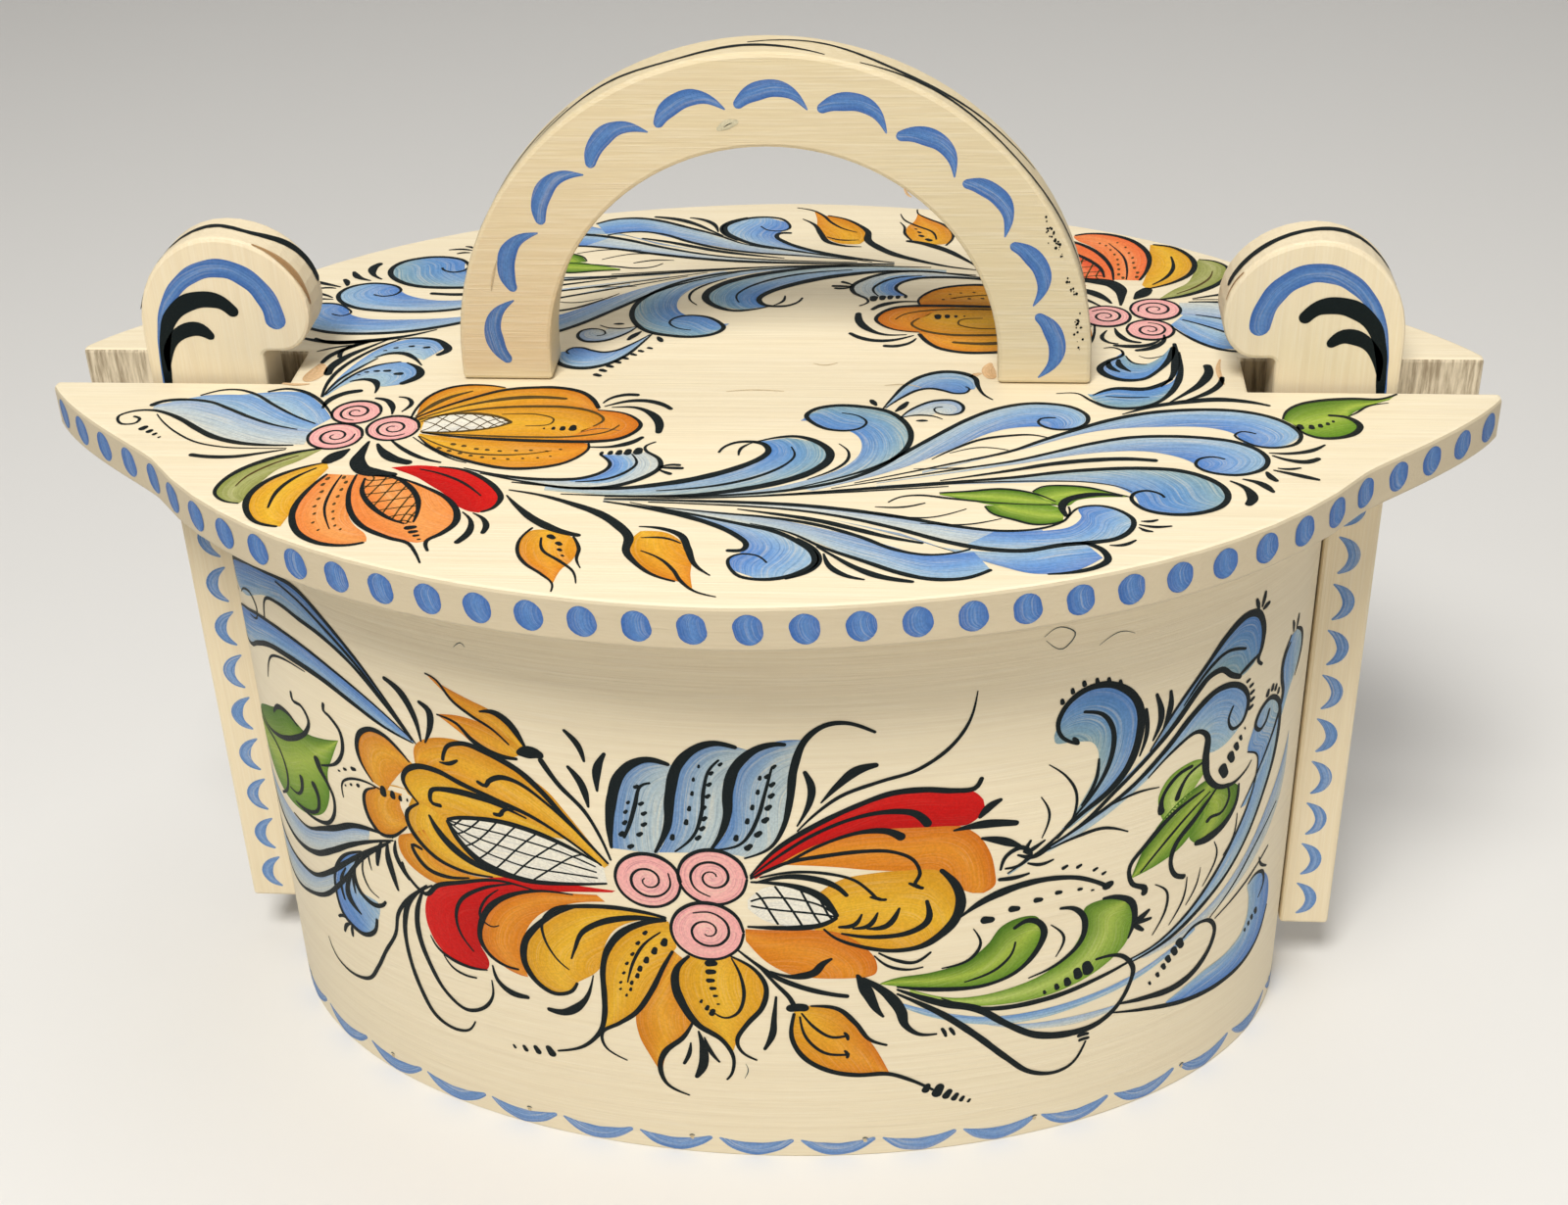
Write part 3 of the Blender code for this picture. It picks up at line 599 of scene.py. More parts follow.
# The lid's flower cluster after the photographed box, in millimetres from the lid's middle
LID_ROSES = ((-95.6, -24.8, 5.9, 0.4), (-84.9, -32.8, 6.2, 1.2), (-97.7, -37.2, 6.4, 2.2))
LID_FILLS = (
    (
        "sky", 0.0,
        "-101,-28 -106,-20 -112,-14.4 -120,-14.6 -128,-16.5",
        "-104,-33 -110,-28.5 -116,-23 -124,-18 -132,-16",
    ),
    (
        "sky", 0.0,
        "-103,-31 -110,-27.4 -117,-21.8 -124,-16.6 -135,-16.4",
        "-105,-35 -114,-32.4 -122,-28.4 -130,-24.2 -143,-20",
    ),
    (
        "mist", 0.0,
        "-104,-34 -114,-31.7 -121,-27.8 -129,-23 -139,-19.6 -146,-22",
        "-104,-41.4 -113,-41.6 -122,-39.8 -130,-34.8 -138,-28.2 -146,-24",
    ),
    (
        "amber", 0.0,
        "-80.5,-28 -80.8,-20 -79,-14.6 -75,-10.8 -69,-9.8 -62,-11",
        "-79,-29 -76,-23 -72,-18.6 -68,-15.6 -64,-12.8 -60,-12",
    ),
    (
        "yellow to orange", 0.0,
        "-79.6,-29 -76,-22.6 -69.8,-17.2 -62,-12.2 -55.3,-10.8 -48.7,-10.8 -43,-13 -39.8,-16.7 "
        "-37.6,-21.7",
        "-79,-30 -72,-25.6 -65,-23.4 -59,-22 -53,-21.6 -48,-21.6 -44,-22 -40.6,-22.6 -38,-23.4",
    ),
    (
        "orange", 0.0,
        "-40,-22.4 -36.4,-22.8 -31.4,-23.9 -28,-26.7 -26.4,-30 -27.6,-33.9 -30.9,-37 -36.4,-38.2 "
        "-46,-38.3",
        "-46,-22.8 -44,-25 -42,-27 -40,-29 -39.6,-31 -40,-32.6 -42,-34 -45,-35.4 -48,-36.4",
    ),
    (
        "yellow to amber", 0.0,
        "-79,-29.4 -72,-24.6 -63,-22 -54.2,-21 -45.3,-21.2 -39.8,-22.8 -36.4,-25.6 -35.6,-27.8 "
        "-37.6,-30.8 -40,-33",
        "-78,-34.6 -72,-36.8 -66,-37.2 -60,-37.6 -54,-38 -50,-38 -46,-37.6 -43,-36.6 -41,-35 "
        "-40,-33.4",
    ),
    (
        "yellow to orange", 0.0,
        "-78,-35.4 -69,-37.4 -57,-38.4 -46,-38.8 -41,-39 -37.2,-39.6",
        "-78,-36.7 -70,-45 -60.9,-50 -50.5,-51.9 -42,-49.4 -37,-42.2",
    ),
    (
        "olive", 0.0,
        "-99.2,-43.3 -105.3,-45.6 -110.9,-49.4 -115.3,-53.9 -118,-59.4 -118.3,-65 -115.6,-68.6 "
        "-111.6,-69.7",
        "-99.2,-43.9 -103,-49.4 -107,-53.9 -109,-59.4 -110,-63 -110.4,-66 -110.8,-68.2 -111.4,-69.7",
    ),
    (
        "yellow", 0.0,
        "-96.4,-50 -103,-53.9 -108,-59.4 -110,-65.6 -109.2,-71.7 -105.3,-77.8 -99.8,-79.7",
        "-95.3,-52.8 -96.6,-58.3 -97.4,-62 -98,-66.7 -98.4,-71.7 -98.8,-76 -99.2,-79.7",
    ),
    (
        "peach", 0.0,
        "-94.8,-55.6 -97,-61.7 -98.3,-69.4 -97.6,-76 -94.2,-82.8 -88.7,-86.7 -83,-87.2 -79.2,-85.9",
        "-88,-56 -87.2,-62.8 -86.4,-70.6 -84.6,-76 -82.4,-79.4 -80,-82 -79,-84 -78.7,-85.6",
    ),
    (
        "peach", 0.0,
        "-88,-55.6 -87.8,-63.9 -85.3,-72.8 -80.9,-79.4 -74.2,-83.9 -67.6,-85.8",
        "-79.8,-56 -72,-60.6 -65.3,-66 -61.8,-71.7 -61,-77.2 -66.4,-85.4",
    ),
    (
        "red", 0.0,
        "-80.9,-52.2 -74.2,-51 -67.6,-52.2 -60.9,-55 -55.3,-60.6 -53,-66 -54.2,-70.6 -56.4,-72.2",
        "-78.7,-53.6 -74,-56.6 -70,-60.4 -66.4,-63.9 -62.6,-69 -60.4,-71 -58.6,-72 -56.7,-72.4",
    ),
    (
        "yellow to orange", 0.0,
        "-41,-79.4 -43.7,-80 -45.3,-83.9 -44.8,-89.4 -42.6,-93.9 -38.7,-97.8 -35.6,-101.7",
        "-38,-80.6 -35.3,-81.7 -33,-85 -32.4,-89 -33,-92.6 -34.6,-96 -35.4,-101.4",
    ),
    (
        "yellow to orange", 0.0,
        "-20,-79.6 -21.8,-84 -21,-90 -17.6,-95 -13,-98.6 -9,-100.4 -6,-104",
        "-19,-79.4 -14.4,-80 -10.4,-84 -8.2,-89 -7.4,-93.4 -7.2,-97 -6,-103.6",
    ),
    (
        "mist", 0.6,
        "-64.2,-52.4 -54,-55.8 -45.3,-57 -36.4,-56.2 -32,-52.8 -31,-49.4 -33.7,-45",
        "-60,-54.6 -50,-57.8 -40,-60.2 -30,-60.2 -22,-56 -19.6,-49 -23.4,-43.4",
    ),
    (
        "blue", 0.0,
        "-40,-57 -35,-55.6 -31.6,-52 -31.2,-49 -33.4,-45",
        "-38,-58 -30,-58 -25.6,-54 -25,-49 -27.4,-45.4",
    ),
    (
        "teal", 0.5,
        "-44,-60 -23,-60 -7.8,-54.4 -1,-50 3.3,-45.6 4.6,-42.2 3.3,-39.2 1.1,-38",
        "-44,-62 -20,-64 0,-60.6 9,-56.7 15.6,-51.6 18.6,-45 15.6,-38.4 8.6,-35.6",
    ),
    (
        "teal", 0.6,
        "-20,-63.4 3.3,-60.8 14,-56 22,-50 25.6,-43 25.4,-36 22.6,-32 18,-31.4 13,-27 11,-27",
        "-20,-64 3.3,-63.4 16,-58.8 26,-53 33.3,-45.6 37,-36 34.4,-25.6 26,-19.8 17,-19.8 12.2,-24.6",
    ),
    (
        "blue back", 0.3,
        "30.5,-20.4 33,-12.6 38,-3.6 44,-0.4 49.4,-1.2 52,-5 51.6,-9.6",
        "31,-20 35,-13.6 40,-9.6 44.4,-10.6 46.8,-11.9 49.4,-11.7 50.6,-9.6",
    ),
    (
        "mist", 0.2,
        "34.6,-24.8 38.6,-18.6 43.6,-15.8 48,-17.2 49,-20.4 46,-23.2",
        "35,-24.6 38.6,-23.6 41.6,-23.4 42.6,-22.4 43.4,-22.6 45,-23.2",
    ),
    (
        "blue back", 0.5,
        "14,-60 32.2,-46.7 43.3,-33.3 55,-21.2 66,-17 75,-19 78,-25 74,-30",
        "16,-60.6 34.4,-50.4 46,-40.6 56,-31.6 62,-29.2 67,-28.8 70,-29.6 72,-30.2",
    ),
    (
        "blue back", 0.5,
        "40,-51 60,-41 77,-29 93.3,-21 107,-19.4 120,-22.8 126,-30.6 121,-37.8",
        "40,-52 62,-40.4 80,-30.6 95,-28.2 106,-28.6 111,-31.4 113,-36 118,-38",
    ),
    (
        "blue back", 0.6,
        "30,-56.6 60,-46 80,-36.2 96,-33 110,-35 117,-43 113,-50.4 107,-51",
        "30,-57 60,-47.6 78,-41.6 90,-40.4 98,-43.4 101.4,-47 103,-49.8 106,-51",
    ),
    (
        "teal", 0.6,
        "30,-58.6 60,-56 74,-55.2 82,-56.8 86.4,-61 88,-66.6 94,-69.2 98,-69",
        "30,-58 60,-53.4 78,-49.4 92,-48.8 103,-53 106.8,-61 104,-66.4 99,-69",
    ),
    (
        "green", 0.0,
        "44,-61.4 50,-60.2 57.8,-59 64.4,-60.8 69.6,-64.6",
        "44,-61.8 50,-64 56,-66.2 63,-66.8 69.6,-65.6",
    ),
    (
        "green", 0.0,
        "64.4,-60.2 67,-57.8 73,-57 79.4,-58.8 85,-61.8",
        "69,-65.8 72,-66 74,-63.6 78,-62.2 85,-61.8",
    ),
    ("green", 0.0, "54,-66.4 56,-70 60,-72.4 65,-74.4 70.6,-73", "60,-66 63,-66 66,-66 69,-66.2 71,-68.6"),
    (
        "mist", 0.5,
        "-30,-65.6 8.9,-67 36.7,-72.4 57.8,-77.4 66,-76.2",
        "-30,-66.4 8.9,-68.6 34.4,-76.4 54.4,-84.8 68,-84",
    ),
    (
        "blue", 0.0,
        "56,-77.6 66.7,-77 72,-75.2 74.6,-71 74.2,-67.4 78,-65.9",
        "50,-83.4 62.2,-85.4 72,-82.8 80,-81 85,-76.6 84,-68.4",
    ),
    (
        "blue back", 0.4,
        "20,-73 36,-80 46,-85 60,-86 70,-83 75,-82",
        "36,-79 46,-85.4 56,-91.4 64,-94.8 72,-93.6 78.4,-88",
    ),
    (
        "blue", 0.7,
        "-20,-68.4 6.7,-73 27.8,-81.2 41,-87.6 48,-87 51.6,-86.4",
        "-20,-69 12.2,-79.6 28.9,-91 43.3,-97.4 51,-96.4 55,-93.4",
    ),
    (
        "blue", 0.4,
        "-30,-67 -10,-73.2 0.4,-80.4 3.3,-85 2.4,-88 0.4,-91 1,-95",
        "-30,-66.6 -2,-74.8 9,-79 16.6,-86 18.3,-92.4 14,-97 7,-98.6",
    ),
    (
        "green", 0.0,
        "122.8,-23.9 124.4,-19.4 127.8,-16 133.3,-13.9 140,-13 146.7,-13 150.4,-11",
        "125.6,-27.2 128,-32.4 134.4,-32.8 139.4,-28 138.6,-21.6 143.3,-16.8 148.6,-13.4",
    ),
)
LID_SEED = (
    "-78.2,-29.4 -74.2,-25.9 -67.6,-25 -60.9,-26.7 -57.3,-29.2",
    "-78,-34.2 -72,-34.4 -65.3,-33.3 -60.9,-31.7 -57.3,-29.2",
)
LID_POD = (
    "-85.9,-57.4 -84.8,-63.9 -80.9,-70.6 -75.9,-75.6 -72,-77.8",
    "-84.2,-56.6 -78.7,-57.4 -74.2,-61.7 -71.2,-68.6 -70.6,-77",
)
LID_LINES = (
    (0.4, 1.4, 0.8, "-101,-27 -104,-21.7 -108,-16.7 -112,-13.7 -116,-12.6 -120.3,-14.4"),
    (0.5, 1.1, 0.6, "-104,-31 -109.8,-27.2 -116.4,-21.7 -123,-15.6 -128,-13.3 -132,-13.7 -136.4,-16.7"),
    (
        0.4, 1.2, 1.0, 1.6,
        "-107.6,-34 -114,-31.7 -121,-27.8 -127.6,-23.3 -133,-20 -139.8,-18.9 -144.8,-20 -147,-22.6",
    ),
    (
        0.5, 1.9, 1.6, 0.7, 0.8,
        "-106.4,-41.9 -113,-42 -119.8,-41 -126.4,-38.3 -132,-34 -136.4,-30 -141,-26.7 -145.3,-24.8 "
        "-150,-25.2 -153,-28 -151,-32 -147.8,-31.6 -147.4,-29.2 -149.4,-28",
    ),
    (0.3, 0.7, 0.4, "-107.6,-43.4 -114,-43.6 -122,-43.3 -129.8,-41 -136.4,-36 -141,-31 -144,-26.7"),
    (1.5, 1.6, 0.4, "-129.8,-47 -125,-48 -118.7,-47.8 -113,-46 -107.6,-44"),
    (0.8, 2.0, 0.4, "-93,-17.2 -89.8,-18.3 -87.6,-21.7 -86.8,-25.8"),
    (0.5, 1.4, 0.4, "-87.3,-16.4 -84.8,-17.2 -83.3,-20 -84.8,-24.4"),
    (0.5, 1.2, 0.5, "-81.8,-27.6 -81.4,-21.7 -79.8,-16 -76.4,-11.7 -72,-9.8 -66.4,-9.8 -62,-11"),
    (
        0.6, 1.2, 1.4, 1.2,
        "-80.9,-27.8 -76.4,-22.8 -69.8,-17.2 -62,-12.2 -55.3,-10.8 -48.7,-10.8 -43,-13 -39.8,-16.7 "
        "-37.6,-21.7",
    ),
    (
        0.4, 1.4, 1.6, 0.6,
        "-37.8,-22.4 -31.4,-23.9 -28,-26.7 -26.4,-30 -27.6,-33.9 -30.9,-37.2 -36.4,-38.5 -46.4,-38.6 "
        "-57.6,-38 -68.7,-36.8 -77.6,-34.9",
    ),
    (
        0.4, 1.2, 1.3, 0.6,
        "-78,-36.7 -74.2,-41.7 -68.7,-46 -60.9,-50 -54.2,-52 -47.6,-51.6 -42,-49.4 -38.7,-46 "
        "-37,-42.2 -37.4,-39.4",
    ),
    (
        0.8, 1.8, 1.1, 0.5,
        "-99.2,-43.3 -105.3,-45.6 -110.9,-49.4 -115.3,-53.9 -118,-59.4 -118.3,-65 -115.3,-68.6 "
        "-111.4,-69.7",
    ),
    (
        0.5, 1.5, 1.6, 0.8,
        "-96.4,-50 -103,-53.9 -108,-59.4 -110,-65.6 -109.2,-71.7 -105.3,-77.8 -99.8,-79.8",
    ),
    (0.5, 1.3, 0.5, "-98,-52.8 -102,-57.8 -104.2,-63.9 -104.2,-71.7"),
    (
        0.7, 1.5, 1.7, 0.8,
        "-94.8,-55.6 -97,-61.7 -98.3,-69.4 -97.6,-76 -94.2,-82.8 -88.7,-86.7 -83,-87.4 -79,-86",
    ),
    (0.4, 0.8, 0.3, "-91.4,-56 -92,-63.9 -91.4,-71.7 -88,-80.6"),
    (
        0.5, 1.5, 1.4, 0.5,
        "-88,-55.6 -87.8,-63.9 -85.3,-72.8 -80.9,-79.4 -74.2,-83.9 -69.6,-86 -67,-90 -65,-94.4",
    ),
    (
        0.5, 1.2, 1.8, 0.7,
        "-79.8,-56 -72,-60.6 -65.3,-66 -61.8,-71.7 -61,-77.2 -63,-81.7 -65.6,-85 -64.4,-89.4",
    ),
    (0.5, 1.4, 1.4, 0.6, "-85.7,-57.2 -84.8,-63.9 -80.9,-70.6 -75.9,-75.6 -72,-77.8"),
    (0.5, 1.5, 1.4, 0.5, "-84.2,-56.3 -78.7,-57.2 -74.2,-61.7 -71.4,-67.2 -70.3,-72.8 -70.3,-77.2"),
    (0.5, 1.3, 1.6, 0.7, "-70,-51.6 -64,-53 -58.6,-57 -54.6,-62 -53,-66 -54,-70.4 -56.4,-72.2"),
    (0.4, 1.0, 0.4, "-74.2,-52.8 -68.7,-55 -63,-58.9 -57.6,-65"),
    (0.4, 1.0, 2.0, 1.4, "-60.4,-72.2 -57.8,-76 -57.2,-81 -59.2,-86"),
    (0.4, 1.0, 1.7, 1.0, "-58,-72.6 -55.3,-75 -53.9,-78.3 -54.2,-81.7"),
    (2.4, 4.4, 0.6, "-97,-50.8 -95.4,-47.6 -92.6,-43.4"),
    (0.6, 2.2, 4.2, 4.0, 1.4, "-89,-39.4 -89.4,-44 -89.4,-49.4 -87,-53.6 -83,-55 -78.7,-55.6"),
    (0.6, 3.2, 2.0, "-86.8,-40.6 -84.8,-44.4 -81.4,-48 -76.6,-50"),
    (0.6, 1.6, 0.6, "-84,-38.8 -80,-43.4 -75,-47.4 -69.8,-49.6"),
    (0.3, 0.8, 0.3, "-79.2,-37.2 -74,-42.6 -68,-47.6 -64,-49.6"),
    (0.4, 1.8, 2.6, 1.2, "-52,-64.4 -48.7,-69.4 -43.7,-75.4 -37.6,-80 -32.6,-81.9"),
    (0.6, 1.0, 0.4, "-43.6,-78.6 -45.5,-83.9 -45,-89.4 -42.6,-93.9 -38.7,-97.8 -35.6,-101.7 -35.3,-105"),
    (0.6, 1.0, 0.3, "-34.2,-82.2 -32.2,-87.2 -32,-91.7 -30.6,-95.4"),
    (0.5, 1.0, 0.3, "-41,-82.8 -39.8,-88.3 -35.3,-92.8 -32,-96.7 -30.6,-101.6"),
    (
        0.5, 1.2, 2.4, 2.4, 1.2, 0.6,
        "-52,-62 -44,-64.4 -36,-68.4 -30,-72.2 -25.6,-76.7 -22.2,-82.2 -22,-87.8 -20.6,-91 "
        "-15.6,-97.2 -10,-100.2",
    ),
    (0.4, 1.1, 0.4, "-18.9,-87.8 -14.4,-91 -11,-95.6 -8.9,-100 -5.6,-103.9 -0.9,-106"),
    (0.4, 1.8, 1.6, 0.4, "-20.6,-77.6 -15.6,-78.3 -11,-81.2 -8.9,-86.7 -6.7,-93.3 -3,-97.6"),
    (0.3, 0.9, 0.4, "-19.6,-82.4 -14.4,-82.4 -10.6,-84.6"),
    (0.4, 1.4, 1.4, "-37,-18.9 -35.3,-16 -32,-14.2 -28.7,-14.4"),
    (0.4, 1.4, 1.8, 1.2, "-36.4,-20.6 -30.9,-17.6 -26.4,-17.4 -22.6,-19.2 -20,-21.9"),
    (0.4, 1.2, 2.6, 1.4, "-34.6,-21 -28.7,-21 -24.4,-24.4 -22.2,-28.9 -21.8,-34.2"),
    (0.5, 1.0, 2.0, 1.0, "-37,-41.2 -32,-41 -27.6,-38.9 -25,-35.8"),
    (0.4, 1.4, 1.3, 0.7, "-64.2,-52 -54.2,-55.6 -45.3,-57 -36.4,-56.2 -32,-53 -30.9,-49.4 -33.9,-44.8"),
    (
        0.4, 0.9, 1.5, 1.4, 0.5,
        "-60,-54.4 -48.7,-58.3 -38.7,-60.8 -29.8,-60.2 -23.3,-56.4 -19.4,-51 -20,-46.7 -23.5,-42.8 "
        "-23.9,-40.6 -21.7,-38.3",
    ),
    (0.4, 1.1, 0.4, "-26.6,-44.4 -24.9,-49 -27,-53.4 -31,-56.6 -37.6,-58"),
    (0.5, 1.2, 1.2, "-19.6,-50.8 -16.6,-50.9 -13.8,-51"),
    (0.4, 1.0, 1.0, "-19.4,-50.4 -16.8,-49.4 -14.6,-49.6"),
    (0.4, 1.0, 1.2, "-19.6,-51.6 -17.8,-53 -16.2,-53.9"),
    (
        0.5, 1.0, 2.4, 1.8, 0.6,
        "-52,-58.4 -30,-61 -15.6,-57.8 -7.8,-54.4 -1.1,-50 3.3,-45.6 4.7,-42.2 3.3,-38.9 0.6,-37.8 "
        "-3,-38.2 -5.6,-40.4 -6.7,-43.4",
    ),
    (0.3, 1.0, 0.4, "0.6,-38.3 -1.7,-41 -2,-44.6"),
    (
        0.4, 2.2, 2.2, 1.0, 0.4,
        "0.6,-38.3 6.7,-35.4 11,-35 15.6,-37.6 18.7,-42.2 18.6,-46.7 15,-52.2 8.9,-56.7 0,-60.6 "
        "-10,-63.3 -21,-64.2 -40,-63.6",
    ),
    (0.4, 1.2, 0.4, "9.7,-40 10.8,-44.4 8.9,-48.9 3.3,-54.4 -5.6,-58.9 -18.9,-61.7"),
    (0.3, 1.0, 0.3, "20.6,-38.3 23,-42.2 22.8,-46.7 20,-51 14.4,-55.6"),
    (
        0.4, 1.5, 1.4, 1.1, 0.3,
        "20.4,-22.8 24.4,-24.2 26.5,-27.4 25.2,-30.4 22,-31.8 17.4,-31 13.8,-27.8 12.2,-24.4 14,-21 "
        "18.6,-19 24,-19.2 31,-21.6 35,-26.4 37,-33 36.2,-40 32,-47.4 25,-54.2 14,-59.6 -4,-63.4 "
        "-30,-64.6",
    ),
    (
        0.4, 1.2, 1.8, 0.4,
        "30,-20.6 32.2,-14.4 35,-7.8 38.9,-2.8 43.9,-0.3 48.3,-0.8 51.7,-3.6 52.4,-7.8 53.7,-12.2 "
        "56,-15.2",
    ),
    (
        0.3, 0.9, 0.9, 0.5,
        "30.6,-20 34.4,-14.4 37.8,-10.6 41,-9.4 44.4,-10.6 46.7,-11.9 49.4,-11.7 50.4,-9.4 49.4,-8.3",
    ),
    (0.8, 1.9, 0.5, "27,-15.6 27.6,-17 28.5,-18.9"),
    (0.8, 2.0, 0.5, "35.9,-16.5 34.8,-19 33,-21.9"),
    (0.4, 1.3, 0.4, "38,-26.4 40.8,-26.3"),
    (
        0.4, 1.1, 0.8, 0.4,
        "34.4,-25 36,-21.7 38.9,-18.3 42.2,-16 46.7,-15.8 49,-18.9 48.3,-22.2 45.6,-23.3 42.8,-22.2 "
        "42.2,-20 44.2,-19.1",
    ),
    (0.3, 0.8, 0.3, "34.4,-25 37.8,-23.6 41.7,-23.9 44.2,-25.5"),
    (
        0.3, 1.2, 1.4, 1.2, 0.6,
        "10,-60.6 25.6,-52.2 32.2,-46.7 37.8,-40 43.3,-33.3 50,-25.6 56.7,-20 63.3,-17.2 68.9,-17 "
        "74.4,-18.7 77.8,-22.8 77.6,-26.7 75,-29.4 71,-30.2 67.8,-28.9 66.4,-26.7 67.2,-24.7 "
        "70.6,-24.2",
    ),
    (0.3, 0.9, 1.0, 0.4, "42,-45.4 46.7,-40.6 53,-35.6 60,-33.4 65,-33 69,-34.6"),
    (0.2, 0.5, 0.3, "46,-42.4 53,-39.4 59.4,-40.6"),
    (0.2, 0.5, 0.3, "38,-50 46,-49.6 51.4,-49"),
    (
        0.3, 1.0, 1.6, 1.3, 0.5,
        "25,-57 46,-47.6 60,-41 66.7,-36 74.4,-30.6 83.3,-25 93.3,-21 104.4,-19.4 113.3,-20 120,-22.8 "
        "124.4,-27.2 126,-31.7 124.4,-36 120,-38 115.6,-37.4 112.2,-34.4 111,-32.2 112.8,-30.3 "
        "116,-31.4",
    ),
    (
        0.3, 0.8, 1.4, 1.4, 0.6,
        "20,-59.6 46,-50.6 60,-46 68.9,-41.7 77.8,-37.2 86.7,-33.9 96.7,-33 105.6,-33.9 111,-35.6 "
        "115.6,-39.4 117.2,-43.9 115.6,-48.3 111,-51 106.7,-51 102.8,-49.4 101,-46.7 102,-43.9 "
        "105,-42.8 107.8,-43.9",
    ),
    (0.4, 1.2, 2.0, 1.4, "44,-55.4 60,-50.2 68.9,-47 77.8,-45 85.6,-44.2 92.8,-44.9"),
    (
        0.3, 0.9, 1.6, 1.6, 0.7,
        "8,-62.8 36.7,-57.6 60,-53.6 70,-51 80,-49.2 88.9,-48.6 96.7,-49.4 102.2,-52.2 106,-56.7 "
        "106.7,-61.7 104.4,-66 98.9,-68.9 93.3,-69.2 88.3,-67.2 85.8,-62.8 86.7,-60 89.4,-58.9 "
        "92.2,-60.3 93,-62",
    ),
    (0.3, 0.8, 0.6, 0.3, "2,-63.6 36.7,-58.4 52,-56 68.9,-55 76.7,-55.3 83.3,-57.2 86.2,-59.6"),
    (0.3, 0.8, 0.4, "-30,-65.4 -7.8,-64.6 20,-61.6 46,-58"),
    (0.4, 0.9, 0.5, 0.4, "32.8,-65.6 35.6,-63 40,-62.2 45.6,-63.3 55,-65 64,-65.7 69.4,-65.6"),
    (0.5, 1.0, 0.4, "43.9,-61 50,-60.2 57.8,-58.9 64.4,-60.6 69.4,-64.4"),
    (0.4, 0.9, 0.4, "53.9,-66.7 55.6,-70 60,-72.4 64.4,-74.4 68.3,-74 70.8,-72.6"),
    (0.4, 0.9, 0.4, "64.4,-60 66.6,-57.6 71,-57 76.7,-57.8 82,-60.2 86,-62"),
    (1.0, 2.2, 2.0, 0.5, "71.6,-71 70.6,-66.7 71.8,-63.6 75.6,-61.4 80,-60.8 84,-61.6"),
    (
        0.4, 1.6, 1.4, 0.5,
        "-30,-65.8 8.9,-66.9 23.3,-69 36.7,-72.3 47.8,-75.7 57.8,-77.4 65.6,-76.2 70.6,-73 72.2,-69.4 "
        "72,-66.4",
    ),
    (
        0.5, 1.7, 1.6, 0.8, 0.4,
        "72,-70.6 74.4,-66.8 78.9,-65.9 82.8,-67.8 85.6,-71.7 85,-76 81.7,-80 75.6,-81.9 70,-83 "
        "62.2,-85.6 54.4,-85.1 45.6,-82.2 34.4,-76.7 22.2,-71.9 8.9,-68.9 -20,-66.8",
    ),
    (0.4, 1.7, 1.6, 0.5, "70,-82.8 74.4,-82 78.3,-84.6 79.4,-88.9 76.7,-92 72.2,-94 66.7,-95"),
    (
        0.3, 1.0, 1.4, 0.6,
        "-20,-68.4 -4.4,-71.2 6.7,-72.8 17.8,-75.8 27.8,-81 34.4,-85.6 41,-87.8 46.7,-87.2 50.9,-85.2",
    ),
    (0.3, 1.0, 1.6, 1.0, "3.3,-75.6 12.2,-79.4 20,-85.6 28.9,-91 36.7,-95.6 43.3,-97.7 50,-97 55.3,-93.4"),
    (0.4, 1.5, 1.8, 0.8, "0,-69.4 17.8,-73.9 25.6,-77.2 33.3,-80.6 41,-83.1"),
    (0.5, 1.6, 1.6, 1.2, "-30,-66.7 -20,-69.4 -10,-73.3 -3.3,-77.2 1,-81 3.3,-84.4 2.8,-86.9 -0.8,-87.2"),
    (
        0.3, 1.0, 1.5, 1.7, 0.9, 0.5,
        "-24,-67 1,-75.8 8.9,-78.9 14.4,-83.3 17.8,-87.8 18.3,-92.2 14.4,-96.7 8.9,-98.8 3.3,-97.8 "
        "0.6,-93.9 0.2,-90.6 2.2,-88.7 6,-89.2 8.4,-92.2",
    ),
    (0.3, 1.3, 0.5, "14,-81.6 18,-86 19.4,-91 17.4,-95.4 12.6,-98.6"),
    (0.5, 1.2, 2.2, 1.0, "18.3,-85 22.2,-88.9 26.7,-93.3 32.2,-96.9 39.4,-98.9"),
    (0.4, 1.4, 1.6, 0.5, "20,-87.8 21.7,-93.3 25,-96.7 29.2,-98.3"),
    (0.3, 0.8, 0.4, "30,-67.6 36,-67.6 41,-65.6"),
    (0.3, 0.6, 0.3, "28,-70 34,-71.6 42,-72 50,-68"),
    (0.3, 0.6, 0.3, "40,-74.6 50,-74.8 57.6,-72"),
    (0.6, 1.4, 1.2, 0.5, "151,-10.2 146.7,-13 140,-13 133.3,-13.9 127.8,-16 124.4,-19.4 122.8,-23.9"),
    (0.3, 0.8, 0.4, "148.3,-15 143.3,-16.7 140,-20.4 138,-22"),
    (
        1.0, 1.8, 1.2, 0.5,
        "133.3,-21.7 137.8,-22.8 140,-26.7 138.3,-30.6 134.4,-32.9 130,-33 126.7,-30.6 125.6,-27.2",
    ),
    (0.4, 1.2, 1.6, 0.5, "117.8,-40.6 122.2,-40.8 127.2,-39.4 130.9,-36.3"),
    (0.5, 1.2, 2.0, 1.2, "118.3,-41.7 121.7,-43.9 125.6,-44.7 128.9,-42.8"),
    (0.5, 1.2, 1.8, 0.8, "117.8,-48.7 122.2,-50.6 127.6,-53.1"),
    (0.4, 1.1, 0.6, "118.9,-47.8 121.4,-48.2 124.2,-47.5"),
    (0.6, 2.0, 1.0, "116.3,-49.4 117,-52 118.3,-54"),
